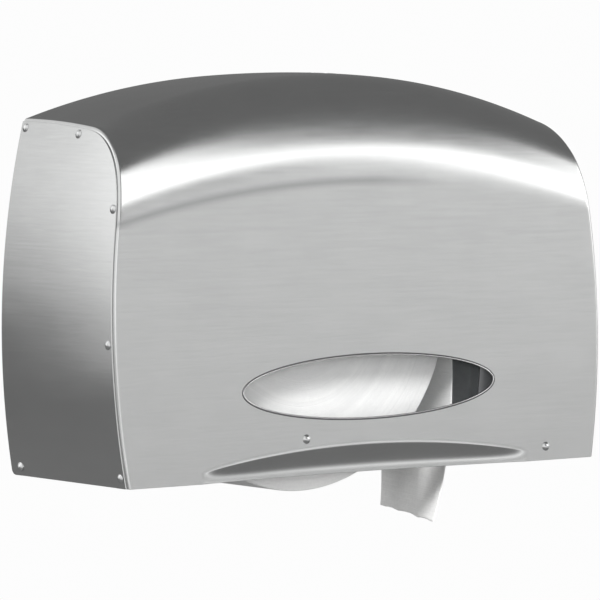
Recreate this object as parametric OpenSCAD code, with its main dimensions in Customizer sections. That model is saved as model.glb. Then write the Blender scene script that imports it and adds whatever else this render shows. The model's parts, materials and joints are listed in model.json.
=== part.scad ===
// Wall dispenser for one jumbo toilet roll and the end of the roll before it.
// X runs to the right, Y runs to the wall and Z runs up. The pieces are worked out from the
// middle of the cover's bottom edge, at the wall, and each one is then lowered so that the
// origin is the middle of the four wall screws.

/* [Cover outline] */
// Width across the bottom edge
base_w = 370; // [362:1:384]
// Width across the two top corners
top_w = 352; // [346:1:360]
// How far each side wall bows out between its ends
side_bow = 11.9; // [9:0.1:14]
// Height of the top corners above the bottom edge
corner_h = 222; // [220:1:234]
// Rise of the arched top above its corners, along the front
arch_rise = 34; // [30:0.5:42]
// Rise of the arched top above its corners, along the wall
wall_rise = 26.5; // [25:0.5:34]
// Depth along the bottom edge
depth = 125; // [123:1:135]
// How far the front face leans back, in degrees
front_lean = 2.2; // [0:0.1:3]
// Radius of the top, seen from the side
top_r = 700; // [500:5:900]
// Radius of the corner between the top and the front
corner_r = 47; // [38:1:52]
// Radius of the corner's lower part, where it eases into the front
ease_r = 90; // [70:1:110]
// Angle of the corner's lower part
ease_a = 18; // [14:0.5:22]
// Share of the arch's rise that is left where the corner meets the front
low_arch = 0.68; // [0.6:0.01:0.8]

/* [Cover sheet] */
// Thickness of the stainless sheet
sheet_t = 1; // [0.8:0.1:1.2]
// Outer radius where the sheet turns in round each side
bend_r = 1.8; // [1.8:0.1:3]
// Depth of the flange that each side wall is riveted to
flange_w = 12; // [11:0.5:14]
// Gap between the cover and the wall
wall_gap = 0.5; // [0.3:0.1:1]
// Width of the hem along the bottom of each side wall
hem_w = 10; // [8:0.5:12]

/* [Pressed scoop] */
// Length of the scoop along the bottom edge
scoop_w = 258; // [200:1:280]
// Middle of the scoop
scoop_x = 0; // [-6:1:6]
// Height of the crease at its crown
crown_h = 18; // [14:0.5:20]
// Height of the crease at its ends
crease_end_h = 7; // [5:0.5:9]
// How far the lip is pressed in at the middle
scoop_d = 10; // [7:0.5:11]

/* [Window] */
// Width of the oval window
window_w = 200; // [160:1:210]
// Height of the oval window
window_h = 40.5; // [34:0.5:44]
// Middle of the window, across
window_x = 3; // [-6:1:8]
// Middle of the window above the bottom edge
window_z = 54; // [52:0.5:70]
// How far the lens reaches past the window
lens_lap = 6; // [4:0.5:7]
// Thickness of the lens
lens_t = 1.5; // [1:0.1:2]
// Thickness of the bonding ring
ring_t = 0.5; // [0.3:0.1:0.8]

/* [Rivets] */
// Diameter of the rivet heads
head_d = 5.8; // [5:0.1:6.4]
// Height of the rivet heads
head_h = 1.5; // [1:0.1:2]
// Diameter of the rivet shanks
shank_d = 3.2; // [2.8:0.1:3.4]
// Distance from the rivets to the cover's outer face
rivet_inset = 5.8; // [5.6:0.1:7]

/* [Back plate] */
// Thickness of the back plate
plate_t = 1.2; // [1:0.1:1.6]
// Distance from the back plate to the outside of the cover, at the sides and the top
plate_inset = 13; // [11:0.5:16]
// Height of the back plate's bottom edge
plate_z = 2.5; // [2:0.5:4]
// Depth of the folded edge on each side of the back plate
return_d = 8; // [6:0.5:10]
// Distance from the folded edges to the outside of the cover
return_inset = 6.5; // [6:0.5:8]
// Distance between the wall screws, across
screw_dx = 254; // [240:1:260]
// Distance between the wall screws, up
screw_dz = 127; // [120:1:134]
// Diameter of the wall screw holes
screw_hole_d = 6.5; // [5:0.1:8]
// Height of the middle of the wall screws
screw_z = 115; // [112:1:120]

/* [Hinge] */
// Distance from the wall to the hinge pins
hinge_y = 11; // [10.8:0.1:12]
// Height of the hinge pins
hinge_z = 5.5; // [5.3:0.1:5.8]
// Diameter of the hinge pins
pin_d = 4; // [3:0.1:4.2]
// Radial clearance of the turning fits
run_gap = 0.05; // [0.02:0.01:0.1]

/* [Rolls] */
// Diameter of the full roll
roll_d = 232; // [200:1:234]
// Depth of the cover that the paper leaves free, in front and behind
roll_room = 34; // [33:0.5:38]
// Middle of the full roll, across
roll_x = -37; // [-41:1:-35]
// Height of the full roll's middle
roll_z = 105; // [103:0.5:106]
// Middle of the part-used roll's spindle, across
stub_x = 126; // [124:1:130]
// Height of the part-used roll's spindle
stub_z = 126; // [122:1:130]
// Outer diameter of the spindles
spindle_d = 48; // [40:1:56]
// Diameter of the axles
axle_d = 12; // [10:0.5:14]

/* [Lock] */
// Distance from the middle to the lock, across
lock_x = 40; // [38:1:60]
// Distance from the wall to the lock
lock_y = 26; // [25:0.5:28]
// Diameter of the lock barrel
barrel_d = 19; // [16:0.5:20]
// Length of the lock barrel under the cover
barrel_l = 14; // [13:0.5:15]
// Length of the cam from the lock's axis
cam_l = 22; // [19:0.5:23]

/* [Tear bar] */
// Left rivet, across
bar_left_x = -48.6; // [-56:0.1:-44]
// Left rivet above the bottom edge
bar_left_z = 23.4; // [22:0.1:24]
// Right rivet, across
bar_right_x = 144.7; // [142:0.1:150]
// Right rivet above the bottom edge
bar_right_z = 8.8; // [8:0.1:10]
// Spacing of the teeth
tooth_w = 3; // [2:0.5:5]
// Height of the teeth
tooth_h = 1.6; // [1:0.1:2]

/* [Paper] */
// Thickness of the hanging paper
paper_t = 0.4; // [0.3:0.1:0.6]
// How far the torn end hangs below the cover
tail_drop = 38; // [20:1:60]
// Where the front edge of the paper ends, across
tail_x = 69; // [64:1:72]

/* [Hidden] */

$fn = 64;
eps = 0.01;
steel = [0.74, 0.75, 0.75];
dark_steel = [0.55, 0.56, 0.57];
zinc = [0.66, 0.67, 0.66];
grey_plastic = [0.36, 0.37, 0.38];
paper_white = [0.95, 0.95, 0.94];

// Side wall, seen from the front: an arc through its foot, its bow and its top corner.
side_chord = [(top_w - base_w) / 2, corner_h];
side_len = norm(side_chord);
side_dir = side_chord / side_len;
side_r = (side_len * side_len / 4 + side_bow * side_bow) / (2 * side_bow);
side_c = [base_w / 2, 0] + side_chord / 2 - (side_r - side_bow) * [side_dir.y, -side_dir.x];
function side_x(z) = side_c.x + sqrt(side_r * side_r - pow(z - side_c.y, 2));
function side_tilt(z) = asin((z - side_c.y) / side_r);

// Arched top: its height above the corners at u, which runs from -1 to 1 across the cover.
arch_r = (top_w * top_w / 4 + arch_rise * arch_rise) / (2 * arch_rise);
function arch(u) = sqrt(arch_r * arch_r - pow(u * top_w / 2, 2)) - (arch_r - arch_rise);
// The arch flattens from the front to the wall.
function rise(u, y) = arch(u) * (1 - (1 - wall_rise / arch_rise) * (1 + y / depth));

// Cover seen from the side, in [y, z]: the top arc, the corner's two arcs and the leaning front.
function facing(a) = [-sin(a), cos(a)];
top_c = [0, corner_h - top_r];
top_start = asin(wall_gap / top_r);
corner_reach = ease_r - (ease_r - corner_r) * cos(ease_a);
corner_start = asin((depth * cos(front_lean) + (top_r - corner_h) * sin(front_lean) - corner_reach)
    / (top_r - corner_r)) - front_lean;
corner_end = 90 - front_lean;
corner_c = top_c + (top_r - corner_r) * facing(corner_start);
ease_start = corner_end - ease_a;
ease_c = corner_c - (ease_r - corner_r) * facing(ease_start);
function corner_at(a, inset = 0) =
    a < ease_start ? corner_c + (corner_r - inset) * facing(a) : ease_c + (ease_r - inset) * facing(a);
corner_foot = corner_at(corner_end);
// The arch flattens down the corner, to low_arch of its rise at the front.
function corner_lift(a) = 1 - (1 - low_arch) * pow(max(0, a - corner_start) / (corner_end - corner_start), 2);
function front_y(z) = -depth + tan(front_lean) * z;
function top_z(y) = corner_h - top_r + sqrt(top_r * top_r - y * y);

// Pressed scoop: the crease's height, and how far the sheet is pressed in below it.
function scoop_u(x) = max(0, 1 - pow(2 * (x - scoop_x) / scoop_w, 2));
function crease_z(x) = crease_end_h + (crown_h - crease_end_h) * scoop_u(x);
function scoop_in(x, s) = scoop_d * scoop_u(x) * (1 - pow(1 - s, 2.5));
lip_y = -depth + scoop_d + sheet_t;

// Width of the paper.
roll_w = depth - roll_room;

// Rows and columns of the cover's sheet.
top_n = 4;
corner_n = 10;
front_n = 6;
scoop_n = 5;
face_n = 24;
bend_n = 3;
row_n = top_n + corner_n + front_n + scoop_n;

// Wall screws, rivets and the places of the hinge and the spindles.
skin_gap = 0.05;
rivet_back_y = 5;
rivet_top_y = 64;
rivet_mid_z = 87;
rivet_low_z = 6;
grip = 2 * sheet_t + 0.3;
tail_h = 1;
rivet_side = [
    [-rivet_back_y, top_z(rivet_back_y) - rivet_inset],
    [-rivet_top_y, top_z(rivet_top_y) - rivet_inset],
    [corner_foot.x + rivet_inset, corner_foot.y + 9],
    [front_y(rivet_mid_z) + rivet_inset, rivet_mid_z],
    [front_y(rivet_low_z) + rivet_inset, rivet_low_z]
];
panel_hole_gap = 0.05;

ear_t = 1.5;
ear_r = 4.2;
washer_t = 1.2;
pin_shoulder_d = 5.8;
panel_in_x = side_x(0) - sheet_t;
washer_x = panel_in_x - 0.1 - washer_t;
ear_x = washer_x - 0.1 - ear_t;
hem_y = hinge_y + 1;
bracket_w = 30;
bracket_h = 15;
plate_face = -plate_t;

axle_flange_t = 3;
axle_flange_d = 44;
axle_collar_d = 18;
play = 0.3;
spindle_back = 9.7;
spindle_flange_t = 3;
spindle_flange_d = 64;
spindle_l = roll_w - 0.1;
roll_back = spindle_back + spindle_flange_t + 0.1;
thread_d = 8;
axle_washer_t = 1.5;
nut_h = 6.5;
nut_d = 15;

lock_u = lock_x / (top_w / 2 - sheet_t - bend_r);
lock_top = top_z(lock_y) + rise(lock_u, -lock_y);
// The lock stands square on the sheet: how far it leans to the right and back.
lock_slope = lock_x / sqrt(arch_r * arch_r - lock_x * lock_x) * rise(lock_u, -lock_y) / arch(lock_u);
lock_rake = arch(lock_u) * (1 - wall_rise / arch_rise) / depth - lock_y / top_r;
lock_tilt = atan(lock_slope);
lock_dip = atan(lock_rake);
barrel_flange_t = 0.5;
lock_nut_h = 3.5;
lock_nut_z = lock_top - sheet_t - 4.6;
cam_t = 2.5;
cam_w = 14;
cam_z = lock_top - barrel_l - cam_t - 0.2;
cam_screw_h = 2.5;
cam_screw_d = 8;
catch_t = 1.5;
catch_w = 60;
catch_slot_w = barrel_d + 4;
catch_x = lock_x - barrel_l * sin(lock_tilt);
catch_foot_h = 14;
catch_z = cam_z - 8;
catch_y = lock_y + barrel_l * sin(lock_dip) + cam_w / 2 + 0.6;
catch_lip_h = 17;

bar_t = 1;
bar_z = 2.4;
bar_top_z = 14;
bar_ear_w = 15;
bar_y = lip_y + skin_gap;

// One drop of the origin, from the cover's bottom edge to the middle of the wall screws.
module from_screws() {
    translate([0, 0, -screw_z])
    children();
}

module both_sides() {
    children();
    mirror([1, 0, 0])
    children();
}

// Puts a flat shape on the front face: x across, y up the face, z outwards.
module on_front(x, z, out = 0) {
    translate([x, front_y(z), z])
    rotate([90 - front_lean, 0, 0])
    translate([0, 0, out])
    children();
}

// Puts a shape on the right side wall at y and z, with its z axis outwards.
module on_side(y, z) {
    translate([side_x(z), y, z])
    rotate([0, 90 - side_tilt(z), 0])
    children();
}

function oval(w, h) = [for (i = [0:71]) [w / 2 * cos(5 * i), h / 2 * sin(5 * i)]];

// A domed rivet whose head rests on z = 0, with its shank and closed end below.
module rivet(grip_l, d = shank_d, closed_d = 5) {
    dome_r = (head_d * head_d / 4 + head_h * head_h) / (2 * head_h);
    intersection() {
        translate([0, 0, head_h - dome_r])
        sphere(r = dome_r);
        cylinder(d = head_d + 1, h = head_h + 1);
    }
    translate([0, 0, -grip_l - tail_h / 2])
    cylinder(d = d, h = grip_l + tail_h / 2 + eps);
    translate([0, 0, -grip_l - tail_h])
    cylinder(d = closed_d, h = tail_h);
}

// ---------------------------------------------------------------- cover sheet

// Outline rows: each gives the point [y, z] at u across the cover and x in millimetres.
function row_point(j, u, x) =
    j < top_n + corner_n
        ? let (a = j < top_n
                ? top_start + (corner_start - top_start) * j / top_n
                : corner_start + (corner_end - corner_start) * (j - top_n) / corner_n,
            p = j < top_n ? top_c + top_r * facing(a) : corner_at(a))
            p + corner_lift(a) * rise(u, p.x) * [tan(front_lean) * p.x / corner_foot.x, 1]
        : j <= top_n + corner_n + front_n
        ? let (s = (j - top_n - corner_n) / front_n,
            z = (1 - s) * (corner_foot.y + low_arch * rise(u, corner_foot.x)) + s * crease_z(x))
            [front_y(z), z]
        : let (s = (j - top_n - corner_n - front_n) / scoop_n, z = crease_z(x) * (1 - s))
            [front_y(z) + scoop_in(x, s), z];

function row_facing(j) =
    j < top_n ? facing(top_start + (corner_start - top_start) * j / top_n)
    : j < top_n + corner_n ? facing(corner_start + (corner_end - corner_start) * (j - top_n) / corner_n)
    : [-1, 0];

// Columns: [u, angle round the bend, depth along the flange past the bend].
face_cols = [for (i = [0:face_n]) [2 * i / face_n - 1, 0, 0]];
right_cols = [for (i = [1:bend_n]) [1, 90 * i / bend_n, 0], [1, 90, flange_w - bend_r]];
left_cols = [for (i = [len(right_cols) - 1:-1:0])
    [-1, right_cols[i][1], right_cols[i][2]]];
cols = concat(left_cols, face_cols, right_cols);

// A point of the sheet, inset by t from its outer face.
function sheet_point(j, c, t) =
    let (u = c[0],
        row_z = row_point(j, 1, base_w / 2).y,
        row_w = side_x(row_z) - sheet_t / cos(side_tilt(row_z)) - 0.03,
        x = u * (row_w - bend_r),
        p = row_point(j, u, x),
        in = t + (bend_r - t) * (1 - cos(c[1])) + c[2],
        q = p - in * row_facing(j),
        turned = row_w - side_x(p.y) + side_x(q.y) - t - (bend_r - t) * (1 - sin(c[1])))
    c[1] == 0 ? [x, q.x, q.y] : [sign(u) * turned, q.x, max(q.y, 0)];

module sheet() {
    w = len(cols);
    n = (row_n + 1) * w;
    points = [for (t = [0, sheet_t], j = [0:row_n], c = cols) sheet_point(j, c, t)];
    function at(k, j, i) = k * n + j * w + i;
    function two(a, b, c, d) = [[a, b, c], [a, c, d]];
    outer = [for (j = [0:row_n - 1], i = [0:w - 2])
        each two(at(0, j, i), at(0, j, i + 1), at(0, j + 1, i + 1), at(0, j + 1, i))];
    inner = [for (j = [0:row_n - 1], i = [0:w - 2])
        each two(at(1, j, i), at(1, j + 1, i), at(1, j + 1, i + 1), at(1, j, i + 1))];
    ends = [for (i = [0:w - 2]) each concat(
        two(at(0, 0, i + 1), at(0, 0, i), at(1, 0, i), at(1, 0, i + 1)),
        two(at(0, row_n, i), at(0, row_n, i + 1), at(1, row_n, i + 1), at(1, row_n, i)))];
    sides = [for (j = [0:row_n - 1]) each concat(
        two(at(0, j, 0), at(0, j + 1, 0), at(1, j + 1, 0), at(1, j, 0)),
        two(at(0, j + 1, w - 1), at(0, j, w - 1), at(1, j, w - 1), at(1, j + 1, w - 1)))];
    polyhedron(points = points, faces = concat(outer, inner, ends, sides), convexity = 8);
}

module cover_wrap() {
    hole_d = shank_d + 0.2;
    color(steel)
    from_screws()
    difference() {
        sheet();
        on_front(window_x, window_z, -5)
        linear_extrude(10)
        polygon(oval(window_w, window_h));
        both_sides()
        for (p = rivet_side)
            on_side(p.x, p.y)
            translate([0, 0, -6])
            cylinder(d = hole_d, h = 8, $fn = 12);
        for (p = [[bar_left_x, bar_left_z], [bar_right_x, bar_right_z]])
            on_front(p.x, p.y, -5)
            cylinder(d = hole_d, h = 10, $fn = 12);
        at_lock()
        translate([0, 0, lock_top - 5])
        cylinder(d = barrel_d + 0.4, h = 10, $fn = 32);
    }
}

// ---------------------------------------------------------------- side walls

// The side wall's edge, in [y, z], kept clear of the bend in the cover's sheet.
edge_in = bend_r + 0.2;
foot_r = 3;
panel_outline = concat(
    [for (j = [0:top_n]) let (a = top_start + (corner_start - top_start) * j / top_n)
        top_c + (top_r - edge_in) * facing(a)],
    [for (j = [1:corner_n]) let (a = corner_start + (corner_end - corner_start) * j / corner_n)
        corner_at(a, edge_in)],
    [[front_y(0) + edge_in, 0]],
    [for (a = [270:15:360]) [-wall_gap - foot_r + foot_r * cos(a), foot_r + foot_r * sin(a)]]);

module side_panel() {
    difference() {
        union() {
            intersection() {
                translate([side_c.x, 0, side_c.y])
                rotate([90, 0, 0])
                difference() {
                    cylinder(r = side_r, h = depth + 10, $fn = 256);
                    translate([0, 0, -1])
                    cylinder(r = side_r - sheet_t, h = depth + 12, $fn = 256);
                }
                translate([top_w / 2 - 40, 0, 0])
                rotate([90, 0, 90])
                linear_extrude(100)
                polygon(panel_outline);
            }
            translate([side_x(0) - hem_w, -depth + flange_w + 1, 0])
            cube([hem_w - sheet_t / 2, depth - flange_w - 1 - hem_y, sheet_t]);
        }
        for (p = rivet_side)
            on_side(p.x, p.y)
            translate([0, 0, -6])
            cylinder(d = shank_d + 2 * panel_hole_gap, h = 8);
        translate([panel_in_x - 2, -hinge_y, hinge_z])
        rotate([0, 90, 0])
        cylinder(d = pin_shoulder_d + 2 * panel_hole_gap, h = 8);
    }
}

module right_side_panel() {
    color(steel)
    from_screws()
    side_panel();
}

module left_side_panel() {
    color(steel)
    from_screws()
    mirror([1, 0, 0])
    side_panel();
}

module panel_rivets() {
    for (p = rivet_side)
        on_side(p.x, p.y)
        translate([0, 0, 0.02])
        rivet(grip);
}

module right_panel_rivets() {
    color(steel)
    from_screws()
    panel_rivets();
}

module left_panel_rivets() {
    color(steel)
    from_screws()
    mirror([1, 0, 0])
    panel_rivets();
}

// ---------------------------------------------------------------- hinge

// Each pin has a shoulder in the side wall, a domed end outside and a closed end inside.
module hinge_pins() {
    head_x = side_x(hinge_z + pin_shoulder_d / 2) + 0.1;
    dome_h = 1.2;
    dome_r = (pin_shoulder_d * pin_shoulder_d / 4 + dome_h * dome_h) / (2 * dome_h);
    closed_x = ear_x - 0.2 - tail_h;
    color(steel)
    from_screws()
    both_sides()
    translate([0, -hinge_y, hinge_z])
    rotate([0, 90, 0]) {
        translate([0, 0, closed_x])
        cylinder(d = pin_d, h = head_x - closed_x);
        translate([0, 0, closed_x])
        cylinder(d = pin_d + 2, h = tail_h);
        translate([0, 0, washer_x + washer_t + 0.02])
        cylinder(d = pin_shoulder_d, h = head_x - washer_x - washer_t - 0.02);
        intersection() {
            translate([0, 0, head_x + dome_h - dome_r])
            sphere(r = dome_r);
            translate([0, 0, head_x - eps])
            cylinder(d = pin_shoulder_d, h = dome_h + 1);
        }
    }
}

module hinge_washers() {
    color("white")
    from_screws()
    both_sides()
    translate([washer_x, -hinge_y, hinge_z])
    rotate([0, 90, 0])
    difference() {
        cylinder(r = ear_r, h = washer_t);
        translate([0, 0, -1])
        cylinder(d = pin_d + 2 * run_gap, h = washer_t + 2);
    }
}

// The ear's underside is the stop that the side wall's hem meets when the cover is down.
module hinge_bracket() {
    stop_z = hinge_z - 0.8;
    difference() {
        union() {
            translate([ear_x - bracket_w + ear_t, plate_face - ear_t, stop_z])
            cube([bracket_w, ear_t, bracket_h]);
            translate([ear_x, -hinge_y, stop_z])
            cube([ear_t, hinge_y + plate_face, 7]);
            translate([ear_x, -hinge_y, hinge_z])
            rotate([0, 90, 0])
            cylinder(r = ear_r, h = ear_t);
        }
        translate([ear_x - 1, -hinge_y, hinge_z])
        rotate([0, 90, 0])
        cylinder(d = pin_d + 2 * run_gap, h = ear_t + 2);
        for (p = bracket_rivet_at)
            translate([p.x, 1, p.y])
            rotate([90, 0, 0])
            cylinder(d = shank_d + 2 * panel_hole_gap, h = 10);
    }
}

bracket_rivet_at = [for (k = [0, 1]) [ear_x - bracket_w + 5.5 + 9 * k, hinge_z + 7]];

module right_hinge_bracket() {
    color(zinc)
    from_screws()
    hinge_bracket();
}

module left_hinge_bracket() {
    color(zinc)
    from_screws()
    mirror([1, 0, 0])
    hinge_bracket();
}

// A rivet through the back plate and a piece of thickness t, closed flush at the wall.
module plate_rivet(x, z, t) {
    translate([x, plate_face - t, z])
    rotate([90, 0, 0])
    union() {
        dome_r = (head_d * head_d / 4 + head_h * head_h) / (2 * head_h);
        intersection() {
            translate([0, 0, head_h - dome_r])
            sphere(r = dome_r);
            cylinder(d = head_d, h = head_h + 1);
        }
        translate([0, 0, -t - plate_t])
        cylinder(d = shank_d, h = t + plate_t + eps);
    }
}

module bracket_rivets() {
    color(zinc)
    from_screws()
    both_sides()
    for (p = bracket_rivet_at)
        plate_rivet(p.x, p.y, ear_t);
}

// ---------------------------------------------------------------- back plate

module plate_outline(inset) {
    intersection() {
        translate(side_c)
        circle(r = side_r - inset, $fn = 256);
        mirror([1, 0])
        translate(side_c)
        circle(r = side_r - inset, $fn = 256);
        translate([0, corner_h + wall_rise - wall_arch_r])
        circle(r = wall_arch_r - inset, $fn = 256);
        translate([-base_w / 2, plate_z])
        square([base_w, corner_h + arch_rise]);
    }
}

wall_arch_r = (top_w * top_w / 4 + wall_rise * wall_rise) / (2 * wall_rise);
axle_rivet_r = 16;
function axle_rivet_at(c) = [for (a = [90, 210, 330]) c + axle_rivet_r * [cos(a), sin(a)]];
catch_rivet_at = [for (k = [-1, 1]) [catch_x + k * (catch_w / 2 - 8), catch_z - catch_foot_h / 2]];

module back_plate() {
    rivet_holes = concat(bracket_rivet_at, [for (p = bracket_rivet_at) [-p.x, p.y]],
        axle_rivet_at([roll_x, roll_z]), axle_rivet_at([stub_x, stub_z]), catch_rivet_at);
    color(dark_steel)
    from_screws()
    rotate([90, 0, 0])
    difference() {
        union() {
            linear_extrude(plate_t)
            union() {
                plate_outline(plate_inset);
                plate_wings(return_inset);
            }
            linear_extrude(plate_t + return_d)
            difference() {
                plate_wings(return_inset);
                plate_outline_sides(return_inset + plate_t);
            }
        }
        for (p = rivet_holes)
            translate([p.x, p.y, -1])
            cylinder(d = shank_d + 2 * panel_hole_gap, h = plate_t + 2);
        for (x = [-1, 1], z = [-1, 1])
            translate([x * screw_dx / 2, screw_z + z * screw_dz / 2, -1])
            cylinder(d = screw_hole_d, h = plate_t + 2);
    }
}

// The plate is wider between the hinge brackets and the arched top, where its edges are folded.
return_z = hinge_z + bracket_h + 4;
return_h = corner_h - plate_inset - 6 - return_z;

module plate_wings(inset) {
    intersection() {
        plate_outline_sides(inset);
        translate([-base_w, return_z])
        square([2 * base_w, return_h]);
    }
}

module plate_outline_sides(inset) {
    intersection() {
        translate(side_c)
        circle(r = side_r - inset, $fn = 256);
        mirror([1, 0])
        translate(side_c)
        circle(r = side_r - inset, $fn = 256);
    }
}

// ---------------------------------------------------------------- axles and spindles

module axle(x, z) {
    collar_l = spindle_back - play - axle_flange_t - plate_t;
    shoulder_y = spindle_back + spindle_l + play;
    color(zinc)
    from_screws()
    difference() {
        translate([x, plate_face, z])
        rotate([90, 0, 0]) {
            cylinder(d = axle_flange_d, h = axle_flange_t);
            cylinder(d = axle_collar_d, h = axle_flange_t + collar_l);
            cylinder(d = axle_d, h = shoulder_y + plate_face);
            cylinder(d = thread_d, h = shoulder_y + plate_face + axle_washer_t + nut_h - 0.5);
        }
        for (p = axle_rivet_at([x, z]))
            translate([p.x, 1, p.y])
            rotate([90, 0, 0])
            cylinder(d = shank_d + 2 * panel_hole_gap, h = 8);
    }
}

module axle_rivets(x, z) {
    color(zinc)
    from_screws()
    for (p = axle_rivet_at([x, z]))
        plate_rivet(p.x, p.y, axle_flange_t);
}

module axle_washer(x, z) {
    color(zinc)
    from_screws()
    translate([x, -spindle_back - spindle_l - play, z])
    rotate([90, 0, 0])
    difference() {
        cylinder(d = axle_d + 12, h = axle_washer_t);
        translate([0, 0, -1])
        cylinder(d = thread_d + 0.1, h = axle_washer_t + 2);
    }
}

module axle_nut(x, z) {
    color(zinc)
    from_screws()
    translate([x, -spindle_back - spindle_l - play - axle_washer_t, z])
    rotate([90, 0, 0])
    difference() {
        cylinder(d = nut_d, h = nut_h, $fn = 6);
        translate([0, 0, -1])
        cylinder(d = thread_d + 0.1, h = nut_h + 2);
    }
}

// A moulded hub that turns on its axle: a flange, a tube, a bearing boss and six webs.
module spindle(x, z) {
    wall = 3;
    boss_d = axle_d + 8;
    color(grey_plastic)
    from_screws()
    translate([x, -spindle_back, z])
    rotate([90, 0, 0])
    difference() {
        union() {
            cylinder(d = spindle_flange_d, h = spindle_flange_t);
            difference() {
                cylinder(d = spindle_d, h = spindle_l - play);
                translate([0, 0, spindle_flange_t])
                cylinder(d = spindle_d - 2 * wall, h = spindle_l);
            }
            cylinder(d = boss_d, h = spindle_l);
            for (k = [0:5])
                rotate(60 * k)
                translate([boss_d / 2 - 1, -1, 1])
                cube([(spindle_d - boss_d) / 2 - wall + 2, 2, spindle_l - 8]);
        }
        translate([0, 0, -1])
        cylinder(d = axle_d + 2 * run_gap, h = spindle_l + 2);
    }
}

module roll_axle() { axle(roll_x, roll_z); }
module stub_axle() { axle(stub_x, stub_z); }
module roll_axle_rivets() { axle_rivets(roll_x, roll_z); }
module stub_axle_rivets() { axle_rivets(stub_x, stub_z); }
module roll_washer() { axle_washer(roll_x, roll_z); }
module stub_washer() { axle_washer(stub_x, stub_z); }
module roll_nut() { axle_nut(roll_x, roll_z); }
module stub_nut() { axle_nut(stub_x, stub_z); }
module roll_spindle() { spindle(roll_x, roll_z); }
module stub_spindle() { spindle(stub_x, stub_z); }

module jumbo_roll() {
    color(paper_white)
    from_screws()
    translate([roll_x, -roll_back, roll_z])
    rotate([90, 0, 0])
    difference() {
        cylinder(d = roll_d, h = roll_w, $fn = 128);
        translate([0, 0, -1])
        cylinder(d = spindle_d + 0.3, h = roll_w + 2);
    }
}

// ---------------------------------------------------------------- paper

// The paper leaves the roll at leave_a above the horizontal and hangs in a slow curve. Its
// back edge swings to the right by tail_turn on the way down.
leave_a = 12;
tail_turn = 29;
tail_lift = 2;
tail_rows = 14;
tail_cols = 6;
function bezier(a, b, c, d, s) =
    pow(1 - s, 3) * a + 3 * s * pow(1 - s, 2) * b + 3 * s * s * (1 - s) * c + pow(s, 3) * d;
leave_r = roll_d / 2 + 0.3;
leave_at = [roll_x, roll_z] + leave_r * [cos(leave_a), sin(leave_a)];
leave_dir = [sin(leave_a), -cos(leave_a)];
function paper_at(s, v) =
    let (end = [tail_x + tail_turn * v, -tail_drop + tail_lift * v],
        low = [tail_x + 16 + 17 * v, 5])
    bezier(leave_at, leave_at + 60 * leave_dir, low, end, s);

module paper_tail() {
    w = tail_cols + 1;
    n = (tail_rows + 1) * w;
    points = [for (k = [0, 1], j = [0:tail_rows], i = [0:tail_cols])
        let (p = paper_at(j / tail_rows, i / tail_cols))
        [p.x + k * paper_t, -roll_back - roll_w * (1 - i / tail_cols), p.y]];
    function at(k, j, i) = k * n + j * w + i;
    function two(a, b, c, d) = [[a, b, c], [a, c, d]];
    faces = [
        for (j = [0:tail_rows - 1], i = [0:tail_cols - 1]) each concat(
            two(at(0, j, i), at(0, j, i + 1), at(0, j + 1, i + 1), at(0, j + 1, i)),
            two(at(1, j, i), at(1, j + 1, i), at(1, j + 1, i + 1), at(1, j, i + 1))),
        for (i = [0:tail_cols - 1]) each concat(
            two(at(0, 0, i + 1), at(0, 0, i), at(1, 0, i), at(1, 0, i + 1)),
            two(at(0, tail_rows, i), at(0, tail_rows, i + 1), at(1, tail_rows, i + 1),
                at(1, tail_rows, i))),
        for (j = [0:tail_rows - 1]) each concat(
            two(at(0, j, 0), at(0, j + 1, 0), at(1, j + 1, 0), at(1, j, 0)),
            two(at(0, j + 1, tail_cols), at(0, j, tail_cols), at(1, j, tail_cols),
                at(1, j + 1, tail_cols)))
    ];
    color(paper_white)
    from_screws()
    polyhedron(points = points, faces = faces);
}

// ---------------------------------------------------------------- window

module window_ring() {
    color("black")
    from_screws()
    on_front(window_x, window_z, -sheet_t - skin_gap - ring_t)
    linear_extrude(ring_t)
    difference() {
        polygon(oval(window_w + 2 * lens_lap, window_h + 2 * lens_lap));
        polygon(oval(window_w + 2, window_h + 2));
    }
}

module window_lens() {
    color([0.85, 0.88, 0.9, 0.4])
    from_screws()
    on_front(window_x, window_z, -sheet_t - skin_gap - ring_t - lens_t)
    linear_extrude(lens_t)
    polygon(oval(window_w + 2 * lens_lap, window_h + 2 * lens_lap));
}

// ---------------------------------------------------------------- tear bar

// A folded strip behind the lip: a toothed blade, and an ear at each end that reaches
// forward to the cover's sheet above or beside the scoop.
module bar_ear(x, z) {
    sheet_in = front_y(z) + sheet_t + skin_gap;
    fold_z = z + 4.5;
    translate([x - bar_ear_w / 2, bar_y, min(fold_z, bar_top_z) - bar_t])
    cube([bar_ear_w, bar_t, max(fold_z - bar_top_z, 0) + bar_t]);
    translate([x - bar_ear_w / 2, sheet_in + bar_t / 2, fold_z - bar_t])
    cube([bar_ear_w, bar_y - sheet_in, bar_t]);
    difference() {
        on_front(x, z, -sheet_t - skin_gap - bar_t)
        translate([-bar_ear_w / 2, -4.5, 0])
        cube([bar_ear_w, 8.5, bar_t]);
        on_front(x, z, -10)
        cylinder(d = shank_d + 2 * panel_hole_gap, h = 20);
    }
}

module tear_bar() {
    from = bar_left_x - bar_ear_w / 2;
    to = bar_right_x + bar_ear_w / 2;
    n = floor((to - from) / tooth_w);
    color(steel)
    from_screws() {
        translate([0, bar_y + bar_t, 0])
        rotate([90, 0, 0])
        linear_extrude(bar_t)
        polygon(concat(
            [[to, bar_z], [to, bar_top_z], [from, bar_top_z], [from, bar_z]],
            [for (k = [0:n - 1]) each [
                [from + tooth_w * (k + 0.5), bar_z - tooth_h],
                [from + tooth_w * (k + 1), bar_z]]]));
        bar_ear(bar_left_x, bar_left_z);
        bar_ear(bar_right_x, bar_right_z);
    }
}

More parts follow.
